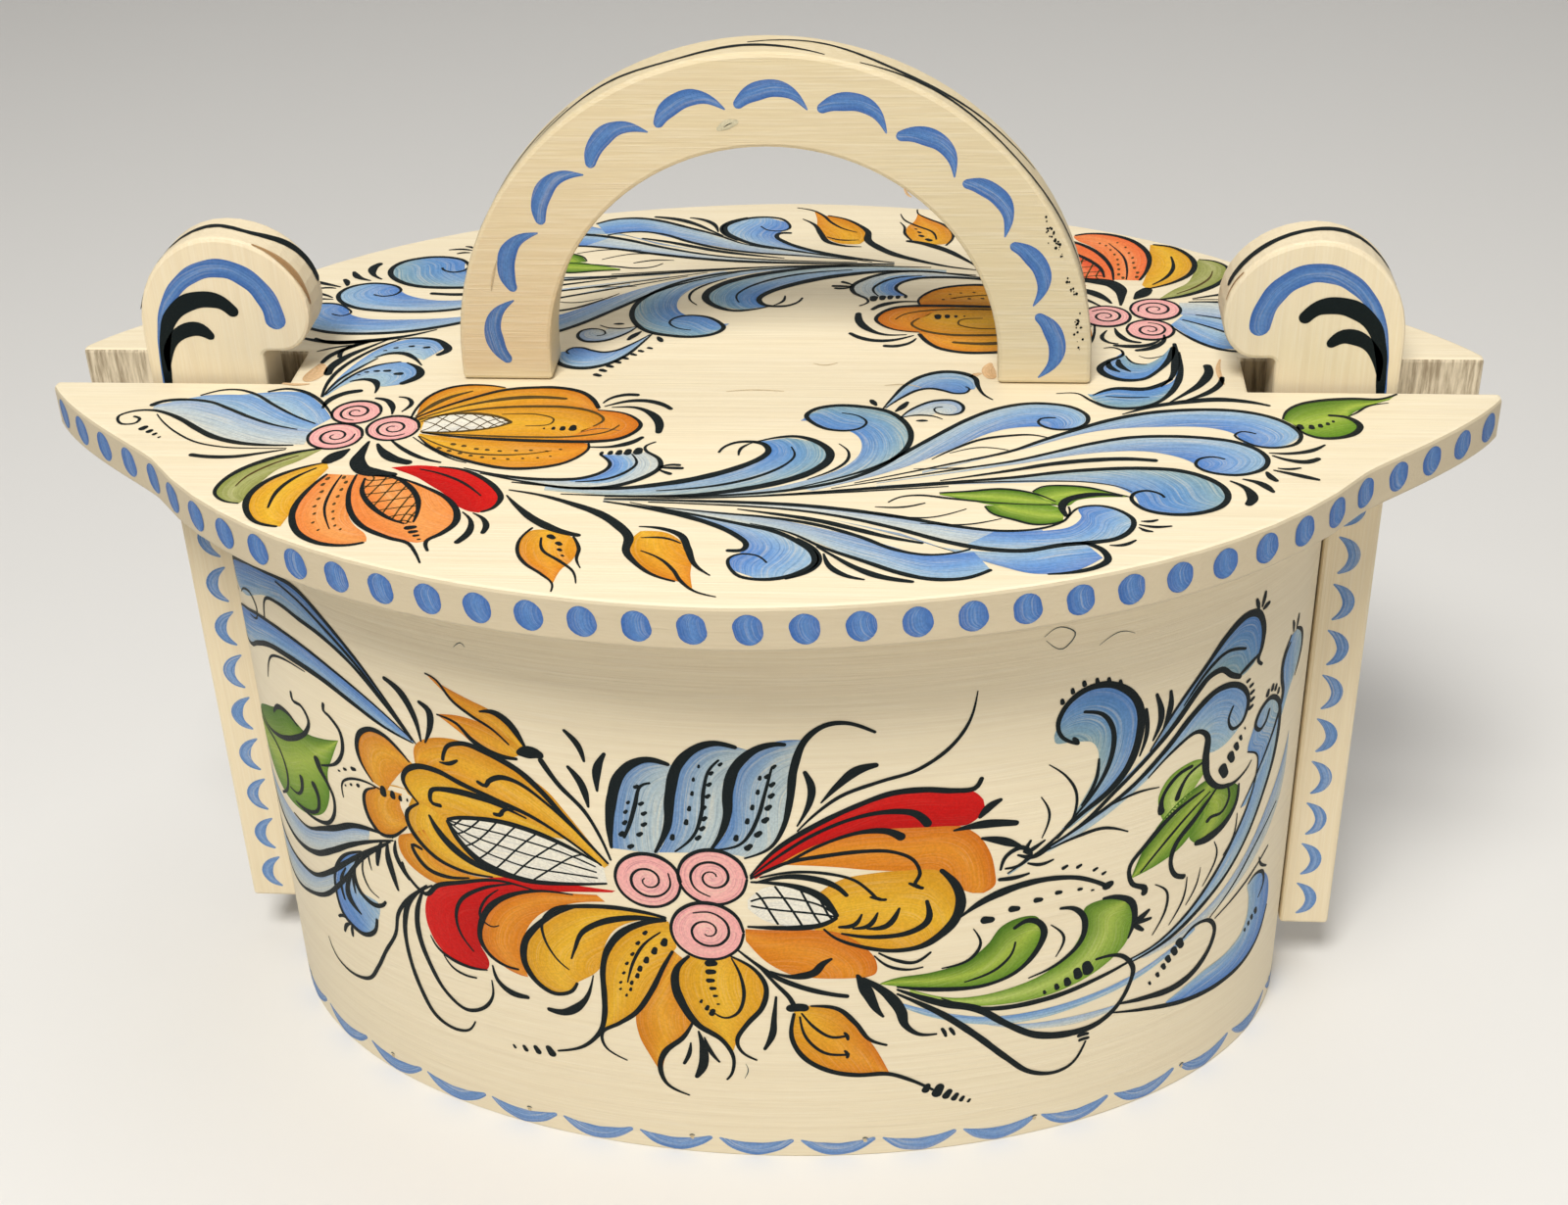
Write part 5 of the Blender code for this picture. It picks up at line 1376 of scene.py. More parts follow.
BAND_LINES = (
    (
        0.4, 1.3, 1.5, 0.8,
        "273.7,117 265.3,128.7 258.7,136.4 249.8,144.2 242,149.2 236.4,150.3 226.4,149.2 218.7,147.6 "
        "212,145.3 205,142.4 199,138.8 194.6,134.4 196.6,131 200.4,130.6",
    ),
    (0.3, 1.2, 0.6, "273.2,117.4 264.8,128 257.6,135.6 248,142.6 240,146.6 232,148.4"),
    (
        0.4, 1.2, 1.5, 0.5,
        "272.6,117.6 264.2,127.6 256.4,134.8 247.6,139.2 239.8,140.9 232,142 225.3,140.6 222.6,133.7",
    ),
    (0.4, 1.0, 0.4, "206,133 210,136 215.3,137.4 218.2,135 217.4,131.2 212,129.6"),
    (
        0.3, 1.0, 1.2, 0.4,
        "273,117.8 262,125 250.9,130 239.8,133.1 228.7,133.9 218.7,132.8 211,130.5 204.6,128.2 "
        "199,125.2 194.8,121",
    ),
    (
        0.4, 1.6, 1.9, 1.4, 0.6,
        "273,117 264.2,119.2 254.2,123.1 245.3,125.9 234.2,127 223,125.9 214,122 207.6,118.2 "
        "201,116.8 195,120.6",
    ),
    (0.3, 0.9, 0.3, "238.7,125.3 228.7,124.8 222,122 217.6,113.7"),
    (1.2, 2.4, 1.6, 0.5, "266.4,134 270.9,131.4 274.2,125.3 275.3,118.1"),
    (1.0, 2.2, 1.4, 0.5, "275.9,130 278.7,128.1 278.7,124.2 276.4,118.1"),
    (0.8, 1.8, 0.6, "217,102.6 220.9,106.4 226.4,107.2 230.6,105.3"),
    (
        0.4, 1.2, 1.8, 1.2, 1.0,
        "201.6,95 206,94 210,94 219.8,96.4 228.7,100.9 234.2,105.3 236.4,109.8 234.2,113.1 "
        "230.3,113.1 230.2,115.8",
    ),
    (
        0.5, 1.2, 1.2, 1.0,
        "238.7,97.3 245.3,100.9 248.7,106.4 248.7,112 245.3,115.3 243.7,115.9 244.2,118.6",
    ),
    (
        2.8, 1.0, 1.2, 1.2, 0.7,
        "236.9,99.4 237.8,95.9 239.8,93.1 241.8,88.7 240.9,83.1 237.6,78.7 232,76.8 222,77",
    ),
    (2.4, 1.0, 1.2, 0.5, "233,89.6 234.8,85.9 233.7,80.9 229.8,78.1 221.4,77"),
    (2.0, 1.0, 0.5, "227.6,88.7 227,84.2 224.2,80.9 219.2,80.3"),
    (0.5, 1.0, 1.3, 0.8, "199,90.4 204,92 209,92.4 214,91.8 217.6,89 218.9,84.2 217,78.4 212,74.2"),
    (0.4, 1.6, 2.0, 1.0, 0.5, "262,84.6 254.2,84.3 247.6,82.6 240.9,78.7 234.2,75.1 226.4,71.4 218.7,71.6"),
    (
        0.5, 2.0, 1.6, 1.2,
        "262,83.9 253,79.8 245.3,75.3 237.6,69.8 228.7,64.2 218.7,62 211,63.2 204,66.8 199,72 "
        "195.6,79",
    ),
    (
        0.5, 1.8, 1.2, 0.8,
        "260.9,83.1 252,76.4 243,68.7 234.2,60.9 225.3,55.1 215.3,54 207,54.8 200,57.4 195,61.4",
    ),
    (
        0.5, 1.6, 1.2, 0.8,
        "259.8,82 248.7,72 239.8,60.9 229.8,50.9 220.9,46.4 212,43.9 205,45 199,50.4 195,61",
    ),
    (0.5, 1.9, 0.8, "262.6,84.2 262,79.8 263.7,75.3 265.5,72.6"),
    (0.5, 2.6, 0.8, "259.8,83.1 259.2,77.6 260,72 261,67.4"),
    (0.5, 2.0, 0.8, "257.8,82 255.9,77.6 254.8,72.9"),
    (0.2, 0.8, 0.3, "252.6,77 252,74 252.4,70.4"),
    (0.3, 0.8, 0.3, "250.4,74.4 248.8,68 250.6,63.4 253.6,62"),
    (0.6, 1.0, 1.5, 1.8, 0.8, "248.7,73.7 245.3,66.4 246.4,60.9 250.9,58.7 254.2,59.8 255.9,61.9"),
    (
        0.6, 1.2, 0.9, 1.7, 0.9,
        "249.8,75.3 242,70.3 237,63.1 235.7,56.4 237,49.2 240.9,46.4 245.3,45.9 249.8,49.2 251.4,54.2",
    ),
    (0.5, 1.4, 0.8, "242,66.4 238.7,59.8 239.2,54.2"),
    (0.5, 1.6, 2.8, 0.6, "244.2,65.3 241.4,59.8 241.6,56 245.5,52.6"),
    (0.4, 1.2, 0.6, "246.4,69 244.4,64 244.4,59"),
    (0.5, 1.5, 0.8, "240,46.8 237.8,45 236.4,42"),
    (0.5, 1.5, 0.8, "240.4,46.4 240,44 239.9,42.2"),
    (0.4, 1.2, 0.8, "239.4,47.4 237,47.8 234.6,46.2"),
    (0.4, 0.9, 0.4, "260.9,98.7 255.3,99.4 249.8,98.1 246.4,95.3 246,90.6"),
    (
        0.4, 1.5, 1.5, 0.5,
        "258,100.3 254.8,105.3 254.2,109.8 255.9,114.2 259.8,116.8 264.2,116.4 268.7,113.1 "
        "270.9,110.7",
    ),
    (
        0.4, 1.4, 1.2, 0.5,
        "258.6,98.8 254.8,96.4 253.7,92.6 254.8,87.6 258,84.4 262,85.3 265.3,88.1 267.2,90.2",
    ),
    (
        0.6, 1.2, 1.8, 1.6, 0.9,
        "321.7,92.4 312,104.4 306.4,111.4 300.9,116.4 293,119.8 287.6,120.9 283,119.2 281.4,116.4 "
        "280.9,114.2",
    ),
    (0.4, 1.4, 0.6, "279.8,113.6 282.4,113.8 285.2,115.6"),
    (
        0.6, 1.8, 1.5, 1.4, 0.8, 0.6,
        "272,98.7 268.1,104.2 269.2,107.6 273,110.3 278.7,110.7 285.3,108.7 294.2,106.2 303,103.4 "
        "312,98.1 320,91.6",
    ),
    (
        1.2, 1.2, 2.2, 1.2, 0.5,
        "278.9,100.3 275.9,100.5 276.4,104.2 280.9,105.7 287.6,106 294.2,105 302,102.4",
    ),
    (
        1.0, 1.6, 1.0, 0.8, 0.4,
        "289.6,110.7 292,109.8 293,111.4 296.4,113.3 300.9,112.6 307,108.4 314,101.4",
    ),
    (1.0, 1.4, 0.8, 0.4, "293,101.9 295,101.9 296,103.5 299,104.4"),
    (0.6, 1.5, 1.4, 1.0, 0.5, "272,98.9 268.1,95.3 267.6,92 269.8,87.6 275.3,83.1 283,81.4 291,82"),
    (0.8, 2.4, 2.4, 1.4, 0.6, "274.6,96.4 276.4,92.6 279.4,89 284,85.8 290,83.8 296,83"),
    (0.9, 1.5, 1.3, 0.5, "271.2,84.4 268,84.8 268.8,82 272,78.7 277.6,78.1 284.2,79.8"),
    (0.4, 1.6, 1.5, 1.0, "320,91.8 312,95.9 304.2,98.6 296.4,99.8 289.8,99.4 283,97.9 279.8,96.4"),
    (0.6, 1.3, 2.3, 1.2, "321,86.4 312,84.7 300.9,83.3 294.2,84 287.6,86.3 282.6,90.9 279.8,96.4"),
    (0.4, 1.0, 1.5, 0.8, "303,80.4 292,81.2 281,77.4 274.2,74.2 270,70 265,74 263.8,78"),
    (0.4, 1.4, 0.5, "269.6,56.6 271.6,53 275.6,50.8 281,50 286,50.8"),
    (0.4, 1.2, 1.0, 0.5, "296,81.2 287.6,77.6 280.9,72 278.7,66.4 279.2,60.9 282.6,55.7"),
    (0.3, 0.9, 0.3, "292,78.4 287.6,73.6 285.8,68 288.6,65.8 291,66.8"),
    (
        0.4, 1.0, 1.9, 1.4, 0.7,
        "312,81.4 303,80.7 295.3,77.6 289.8,73.1 286.4,67.6 285,60.9 287,56.4 290.9,54 295.2,53.7",
    ),
    (
        0.4, 1.5, 2.0, 1.6, 0.8,
        "316,79 312,77.6 306.4,74.2 300.9,68.7 297.6,63.1 297,56.4 299.8,50.9 304.2,48.3 308.7,49.8 "
        "310.8,53.3",
    ),
    (
        0.8, 1.4, 1.2, 0.8, 0.4,
        "335,77.6 330,78.7 322.2,79.2 313.3,78.1 306.7,75.9 303,70.9 303.3,65.3 306,59.8 309,57",
    ),
    (0.8, 2.0, 1.5, 0.5, "334.4,77 326.7,76.7 318.9,74.2 313.3,69.8 311,64.2 309.8,60.7"),
    (
        1.0, 2.2, 1.4, 1.6, 1.2, 0.6,
        "335,77 328.9,75.3 323.3,71.4 319.4,65.3 317.8,58.7 317.6,50.9 317.2,44.2 315.6,38.1 310.6,32 "
        "303.3,28.7",
    ),
    (
        0.8, 1.5, 1.4, 1.0, 0.4,
        "336,67.6 333.3,62 330,54.2 325.6,46.4 321,42 316.2,38 316.7,33.1 322.2,29.6",
    ),
    (0.4, 1.0, 0.4, "333.3,73.1 328.9,68.7 326,63.1 323.9,55.7"),
    (
        0.8, 2.6, 2.0, 1.2, 0.6,
        "340,66.4 336.7,62 336,56.4 337.8,49.8 341,44.2 346.7,39.8 349.4,34.2 348.9,28.7 347.4,26.2",
    ),
    (0.5, 1.7, 1.4, 0.5, "340.2,46 337.2,39.8 332.2,34.2 330.6,28.7 332.2,23.1 337.8,20"),
    (
        0.6, 1.4, 1.4, 0.6,
        "350,67 355.6,63.1 358.3,57.6 357.2,50.9 353.3,45.3 350.6,39.8 351.7,35.9 355.4,33.3",
    ),
    (0.4, 1.0, 0.9, 0.4, "350.2,66.4 352.2,60.9 352.8,54.2 351,48.7 347.8,47 344.2,49.4"),
    (0.5, 2.0, 2.8, 1.0, "341,42.2 342,36.4 341.7,30.9 339.6,26.2"),
    (0.4, 1.3, 0.8, "338.9,38.1 338.3,34.2 336.7,30.5"),
    (0.4, 1.4, 0.6, "342.4,40.3 343.9,35.3 346,32"),
    (0.6, 1.2, 2.0, 0.8, "360.7,54.6 360,47.6 359.4,42 357.2,36.8"),
    (1.2, 2.8, 1.0, 0.3, "301.7,42.6 306.7,42.6 312.2,47.6 315.2,56.6"),
    (0.5, 1.2, 2.2, 1.2, "287.6,53 288.7,48.1 292,45.3 297.2,45"),
    (
        0.7, 2.4, 2.8, 2.2, 1.0,
        "322.8,97.2 322.8,104.2 323.9,112 326,118.7 329.4,122.6 333.3,124.2 338.3,123.1",
    ),
    (
        0.7, 2.2, 2.8, 2.2, 1.0,
        "333.3,97.2 336.7,105.3 337.8,114.2 340,123 344.4,128.1 348.9,129.8 354,128.7",
    ),
    (
        0.7, 2.0, 2.8, 2.2, 1.0,
        "346.7,99.2 349.4,104.2 351,109.8 351.4,116.4 353.3,123.1 357.8,128.1 362.2,129.8 365.2,129.7",
    ),
    (
        0.5, 1.2, 2.2, 1.4, 0.8,
        "354.4,97 360.6,100.3 363.9,106.4 365.6,114.2 366.7,123.1 369.4,130.9 373.9,134.8 378.9,135.3 "
        "385.5,132.3",
    ),
    (0.6, 1.2, 0.8, "333.5,117.6 331,116.4 329.4,110.9 327.8,105.3 326,100.7"),
    (0.6, 1.1, 0.5, "349.8,125.3 347.2,122 345.8,116.4 345,109.8 342.8,103.1 338.1,98"),
    (0.6, 1.1, 0.5, "361.7,123.3 360,116.4 358.3,109.8 356,104.2 353.3,100.9 347.6,99.2"),
    (0.8, 1.9, 0.6, "313.5,130.2 316.7,126.4 318,121.6"),
    (0.8, 2.4, 0.6, "313.6,120 316.7,115.3 318,108.5"),
    (0.8, 2.6, 0.5, "323.2,125 321,120.3 320.5,113.5"),
    (1.0, 2.2, 1.2, 0.4, "369,122.4 370.6,117.6 370,113.1 367,106.5"),
    (1.2, 2.8, 1.6, 0.4, "386,123.4 381,122 376.7,118.1 372.6,113.1"),
    (
        0.4, 1.1, 0.9, 1.1, 0.3,
        "367,105.1 372.2,110.9 377.8,115.3 386.7,118.7 394.6,121 402.2,126.4 406.7,133.1 408.5,141.3",
    ),
    (
        0.4, 1.6, 1.3, 1.8, 1.2,
        "355.6,91.8 362.2,100 371,106.6 380,111.6 388.9,115 396.7,115.3 403.3,114.2 408.3,114.2 "
        "410,117.2",
    ),
    (0.4, 1.0, 1.0, 2.4, "355.6,91.4 362.2,97.6 371,104.2 380,108.4 387.8,109.8 394.4,108.7 397.8,104.6"),
    (0.4, 0.9, 0.9, 2.4, "355.6,91.2 363.3,95.3 372.2,100.9 381,104.2 387.8,104.2 391.9,101.6"),
    (
        0.5, 1.2, 1.2, 0.9, 1.0,
        "355.6,90.9 364.4,95.9 373.3,97.8 382.2,98.7 388.9,98.1 393.9,95.3 395.6,90.9 394.4,87.6 "
        "396.6,86.4",
    ),
    (0.6, 1.4, 0.5, "392.8,88.4 394.6,87.4 396.4,86.2"),
    (0.5, 0.9, 0.8, 0.9, "357.8,91.4 365.6,93.1 373.3,92.6 380,90.3 383.9,86.4 385.6,84.2 387.8,83.9"),
    (0.5, 1.2, 0.4, "383.6,85 385.4,84.4 387.4,83.6"),
    (0.6, 1.4, 2.0, 1.0, "356.7,89.8 364.4,91.8 371,90.9 375.6,88.7 378.5,85.4"),
    (0.6, 1.2, 2.4, 1.2, "355.6,90 360,89.9 366.7,88.6 372.2,85.5 376,79.2"),
    (0.6, 1.4, 1.8, 1.0, "354.4,76.4 360,76.2 366.7,76.2 372.2,77 376,79.2"),
    (0.7, 1.5, 0.5, "376,76.2 380,76.7 381.8,80"),
    (0.5, 1.6, 0.5, "379.4,75.6 383.4,76.2 385.6,80.2"),
    (0.5, 2.0, 0.6, "382.8,75.3 387.8,75.9 390.8,81.2"),
    (0.6, 1.3, 1.4, 2.0, 0.9, "376.7,74.2 384.4,72.6 393.3,73.3 397.6,76.4 397.2,82.8"),
    (
        0.6, 1.2, 1.2, 2.4, 2.8, 1.2,
        "372.6,75.8 376,72.4 384,69 390,67.9 396,68.6 400,71 403.9,75.3 405.5,80.9 404.2,86.4 "
        "400.4,91.6",
    ),
    (0.5, 1.0, 2.4, 2.2, 0.7, "359.4,62.6 364.4,60.9 370,62 372.2,64.8 374.6,66.5"),
    (0.5, 1.8, 1.2, "351.7,69.2 355.6,65.3 360.6,60.9 366.7,57.6 373.3,55.3 378.5,54.2"),
    (0.5, 1.2, 0.6, "385.6,67.6 390,64.8 394.4,63.7 398.5,66.6"),
    (0.4, 1.0, 0.4, "384.6,66.8 388,63.2 392.6,61.6 396.6,62"),
    (0.6, 1.1, 1.4, "356.7,64.2 360.6,58.7 363.9,54.2 365,51.4"),
    (2.2, 2.6, 2.2, "363,50.4 366,51 368.6,50.6"),
    (0.6, 1.5, 1.3, 0.7, "368.9,51.4 375.6,50.3 380,45.3 383.3,39.8 387.8,37.5"),
    (
        0.8, 1.5, 1.5, 1.4, 0.8,
        "365,49.2 364.2,40.9 367.2,34.2 373.3,29.8 380,28.1 387.8,27.9 393.3,25.3 399.4,20.9",
    ),
    (0.5, 1.0, 0.8, "366.7,49.2 370,44.2 373.9,41.1 377.8,41.4"),
    (0.6, 1.2, 0.6, "377,42.6 377.8,41.4 378,39.8"),
    (0.5, 1.0, 0.8, "366.3,48.1 367.8,40.9 372.2,35.9 377.8,35.1"),
    (0.6, 1.2, 0.6, "377,36.6 377.9,35.2 377.6,33.8"),
    (1.0, 3.6, 3.4, 1.4, "301.2,121.2 303.4,122 306,122.2 308,121.4"),
    (1.6, 1.1, 0.6, "306.9,121 311,114.2 316.7,107.6 320,100.9 322.4,93.5"),
    (0.5, 1.0, 0.5, "279,138.7 282,137.6 285.6,132.8 290,129.8 295.4,127 299.6,123.2"),
    (0.5, 2.4, 0.8, "292.6,131.2 296.4,131.8 300,129.6 303.6,123.4"),
    (0.5, 1.0, 1.8, 0.8, "280.8,127.6 286,126.4 290,122.4 295.4,119.8 301.4,119.6"),
    (
        0.5, 1.3, 1.0, 1.1, 1.2, 1.0, 0.3,
        "272.6,73.7 265.3,67.6 259.8,59.8 257.6,52 253,44.2 248.7,36.4 244.2,30.3 236.4,27.9 "
        "229.8,29.8 227.1,35",
    ),
    (
        0.6, 1.8, 1.2, 1.5, 1.4, 0.4,
        "270.9,73.1 264.2,65.3 261.4,56.4 261.4,46.4 263.7,36.4 267.6,28.7 273,26.4 277.6,27.6 "
        "280.2,31.6",
    ),
    (
        0.6, 1.8, 1.6, 1.2, 1.2, 0.4,
        "269.8,72 266.4,63.1 265.9,55.3 268.1,46.4 272,38.7 277.6,34.8 283,37 286.4,42 286.8,47.8",
    ),
    (0.4, 0.9, 0.6, "273,51.4 275.3,48.1 278.7,46.8 282.5,47"),
    (0.5, 2.8, 1.4, "403.3,102.6 411,103.4 419.2,102.2"),
    (0.8, 2.6, 0.8, "409.4,105.3 412.2,108.5 415,110"),
    (0.6, 2.2, 2.4, 0.8, "410,99.4 415,97.8 420,95.1"),
    (0.4, 2.6, 1.7, 1.3, 1.2, "405,75.9 411,80.3 418.9,83.1 426.7,83.7 434.4,82.2 440,79.2 442.6,77.2"),
    (1.4, 2.8, 1.2, "441.6,76.8 443.2,77.2 444.6,78"),
    (1.0, 1.4, 0.6, "414.4,86.2 419,86 422.4,86.6"),
    (0.6, 1.4, 1.2, 0.6, "415,88.8 416.4,93 420,94.8 422.4,92.6 419.8,89.6 416,89.2"),
    (0.6, 1.6, 0.5, "422.4,96.6 421,93 426,95.8"),
    (0.6, 1.5, 0.5, "419,92.8 423,91.4 427.4,93.2"),
    (0.5, 1.2, 0.5, "421.6,89.8 425,88.6 428.4,89.4"),
    (0.4, 1.2, 0.4, "426.7,92.6 434.4,94.8 441,95.3 447.8,92.1"),
    (0.3, 0.9, 0.3, "440,100.9 448.9,103.1 455.8,102.6"),
    (
        0.4, 1.0, 2.2, 2.2, 1.6, 0.8,
        "416.7,87.6 426.7,94.2 434.4,100.9 442.2,106.4 446.7,112 449,119.8 448.7,127.6 445.6,133.1 "
        "440,136.7 434.4,136.7 430,133.7 427.8,128.7 428.9,124.8 433.1,121.8",
    ),
    (
        0.8, 1.4, 1.4, 0.9, 0.4,
        "433.9,130.6 438.9,128.7 441.7,124.2 442.2,118.7 440.6,112 436.7,105.3 430.6,98.3",
    ),
    (0.6, 1.2, 0.5, "438.6,116.4 438,109.8 434.6,103.6"),
    (0.8, 1.6, 0.7, "431.6,124 432.4,123 433.2,121.6"),
    (0.3, 0.9, 0.4, "426,117.6 430.6,113.1 433.3,107.6 432.8,100.9 428.9,95.3"),
    (0.3, 0.8, 0.3, "424.4,108.7 426.7,103.1 425,96.4"),
    (0.5, 1.5, 0.9, "449.4,113.7 451,119.8 450.3,127.2"),
    (0.5, 2.1, 0.8, "452.8,117 454.8,123.1 452.9,130.5"),
    (0.5, 2.0, 0.8, "455.6,119.8 457.2,125.3 456.9,130.2"),
    (
        0.5, 1.2, 1.2, 2.0, 1.4,
        "423.3,92 434.4,97.6 443.3,105.3 452.2,113.1 458.9,119.8 465.6,127.6 468.4,129.9 472.2,130.3 "
        "475.6,127.4 479.2,125.4",
    ),
    (
        0.4, 0.9, 1.2, 2.2, 1.9, 0.9,
        "452.2,114.2 458.9,124.2 466.7,133.1 473.3,139.8 478.9,142.6 483.3,141.4 486,136.4 486,130.9 "
        "485,127.6 487,125.4",
    ),
    (0.4, 1.2, 0.8, "461,124.2 467.8,132 473.3,134.8 480,133"),
    (0.6, 1.6, 0.8, "477.8,125.8 481,127.4 485.2,129.2"),
    (0.6, 1.5, 0.8, "483.4,142.2 482.8,144 482,146"),
    (0.6, 1.5, 0.8, "484.4,142.6 485,144.6 485.3,146.8"),
    (0.6, 1.7, 0.8, "484.8,141.8 486.2,142.4 487.6,142.8"),
    (
        0.4, 1.0, 1.4, 2.0, 1.4, 0.7,
        "423.3,91.4 436.7,98.7 447.8,105.3 456.7,113.1 464.4,120.9 471,124.8 476.7,124.2 481,120.9 "
        "482.8,116.4 481,111.4 477.8,110.9 476,114.2 477.3,118",
    ),
    (
        0.4, 0.9, 1.2, 2.6, 1.8, 1.2, 0.4,
        "452.2,106.4 458.9,112 465.6,115.1 469.2,112.6 469.4,105.3 470.6,99.8 474.4,95.3 480,93.7 "
        "484.4,95.3 486.6,97.5",
    ),
    (1.0, 1.3, 1.0, 2.2, "465.6,105.3 461,104.2 457.2,99.8 456.7,95.6 457.4,94"),
    (0.7, 1.0, 1.7, "469.4,105.3 464.4,103.1 462.2,99.8 461.2,96.4"),
    (
        0.6, 1.2, 1.7, 1.2, 1.2, 2.0,
        "470,96.4 461,93.1 453.3,86.4 448.9,80.9 450,75.3 453.7,72.6 453.3,70.4",
    ),
    (0.6, 1.7, 1.7, 1.2, 1.6, "474.4,95.3 467.8,88.7 462.2,83.1 461,77.6 462.8,73.1 466.2,71.2"),
    (0.4, 1.0, 0.5, "472,95 465,90.4 458.4,84.6 452,78"),
    (0.8, 1.2, 2.0, 3.0, 1.6, "482.2,92.6 481.7,86.4 477.8,82 472.2,80.3 468.1,80.7"),
    (0.5, 1.0, 0.9, 1.4, "477.8,94.2 478.9,89.8 476.7,86.4 472.8,86.6 471.6,85.4"),
    (0.3, 0.8, 0.3, "466.7,70.9 466,64.2 462,57.4"),
    (0.3, 1.0, 0.3, "456.7,72.6 460.6,68.7 460.6,63.1 457,56.2"),
    (0.3, 0.8, 0.3, "475,78.1 476.4,73.1 472.2,65.1"),
    (0.2, 0.7, 0.3, "471,72 470,66.6 467,61.6"),
    (0.3, 0.7, 0.3, "482.8,83.1 482.2,76.4 478.7,71.8"),
    (
        0.5, 1.2, 0.9, 0.5,
        "450.6,50.9 458.9,53.1 467.8,58.7 475.6,66.4 482.2,75.3 486.7,83.1 489.2,90.9 488.9,97.6 "
        "484.4,100.9",
    ),
    (
        0.5, 1.6, 1.1, 1.2, 1.8, 1.4, 1.0,
        "451,49.8 462.2,52.9 472.2,58.5 481,65.1 487.8,72.9 493.3,82.9 497.2,92.9 498.3,103.1 "
        "496.7,109.8 492.2,113.1 488.3,111.4 486.7,107.6 488.9,105.3 491,106.4 492.4,110",
    ),
    (0.4, 0.9, 0.6, "476,53.1 484.4,59.8 492.2,67.6 502,76"),
    (0.4, 0.9, 0.6, "478,51.8 490,57.4 500,63"),
    (0.4, 1.6, 1.6, 0.8, "401,51.4 412.2,46 428.9,45.5 443.3,48.3 451.6,50.6"),
    (
        0.5, 1.6, 1.2, 1.0, 1.5, 2.0, 1.0,
        "390,56.4 401,54.2 412.2,53.7 420,56.4 425,62 426.7,67.6 425,70.9 422.2,72 418.7,70.1",
    ),
    (0.4, 1.0, 0.5, "406.7,55.6 414.4,58.1 418.3,62 419.4,66.1"),
    (0.4, 1.1, 0.3, "401,60.9 407.8,62.6 410.6,67 408.7,72.2"),
    (0.3, 0.9, 0.3, "428.3,69.2 432,64.2 430,58.5"),
    (0.6, 1.9, 1.9, 0.8, "449.8,58 451.4,64.2 450,69.8 445.6,72.8 441.8,73.4"),
    (0.8, 1.9, 1.4, 1.0, 0.4, "430.4,73.7 434.4,72.6 437.2,68.7 436.7,62 431,56.4 423,53.5"),
    (1.8, 2.0, 0.8, "451,62.4 453.4,63.6 455.8,65.3"),
    (1.4, 1.4, 0.8, "451.4,62.4 454,62.2 456.6,62.1"),
    (1.4, 1.5, 0.8, "451.2,62.2 452.8,60.4 454.4,58.9"),
    (
        0.6, 2.4, 2.2, 1.8, 2.4, 1.9, 1.2, 1.5, 0.8,
        "390,55.6 401,49.8 410,46.4 417.8,39.8 425.6,34.2 434.4,32 442.2,32.6 447.8,36.4 451,42 "
        "452,47.6 448.9,52.6 445.6,54.2 440.8,54.4",
    ),
    (
        0.6, 2.0, 1.9, 1.7, 1.2, 0.6,
        "390,54.2 401,46.4 410,37.6 417.8,28.7 424.4,22 431,19.8 436,21.4 439.6,28",
    ),
    (1.2, 1.4, 0.8, "437,30.1 438.8,30.4 440.4,30"),
    (1.0, 1.2, 0.8, "437.4,28.5 439,28.8 440.6,28.6"),
    (0.8, 3.6, 2.4, 0.7, "380.4,61.2 383.3,54.2 385,49.8 386.9,46.8"),
    (0.8, 2.6, 3.2, 1.4, 0.6, "381.7,60 387.8,54.2 391,48.7 392.2,43.7 395.6,40.3 400.2,39.8"),
    (0.8, 1.2, 0.6, "401.2,41.6 402,40 402.4,38.4"),
    (0.8, 1.2, 0.6, "403.2,41.4 404,40 404.6,38.6"),
    (
        0.7, 1.7, 2.4, 2.1, 1.4, 1.2, 0.8,
        "448.1,37.2 456.7,35.9 465.6,35.3 472.2,37.6 477.2,43.1 478.3,48.7 475.6,52.6 471,53.3 "
        "467,50.7",
    ),
    (0.5, 1.5, 1.7, 1.5, 0.8, "446.7,34.8 456.7,32 470,28.7 482.2,27.6 493.3,28.9 500,33 503.6,41"),
    (0.4, 1.1, 1.2, 0.6, "491,55.6 494.4,57 498.3,55.3 499.4,50.9 497,47.4"),
    (0.4, 1.1, 0.6, "495.4,62 496.6,59 500.4,56"),
    (0.3, 0.9, 1.2, 1.6, 0.6, "484,84 491,94 496,103 498.6,111 497.2,116 496.8,122 500,127.4"),
    (0.6, 1.5, 1.2, 0.4, "502.6,128 507,124.6 508,119 505,112.6"),
    (0.6, 1.4, 0.6, "501,127.6 500.8,129.6 500,131.4"),
    (0.6, 1.4, 0.6, "502.8,127.8 503.2,129.8 503.4,131.8"),
    (0.6, 1.4, 0.8, "498.6,112 496.8,117 497.4,122 500,125.4"),
)
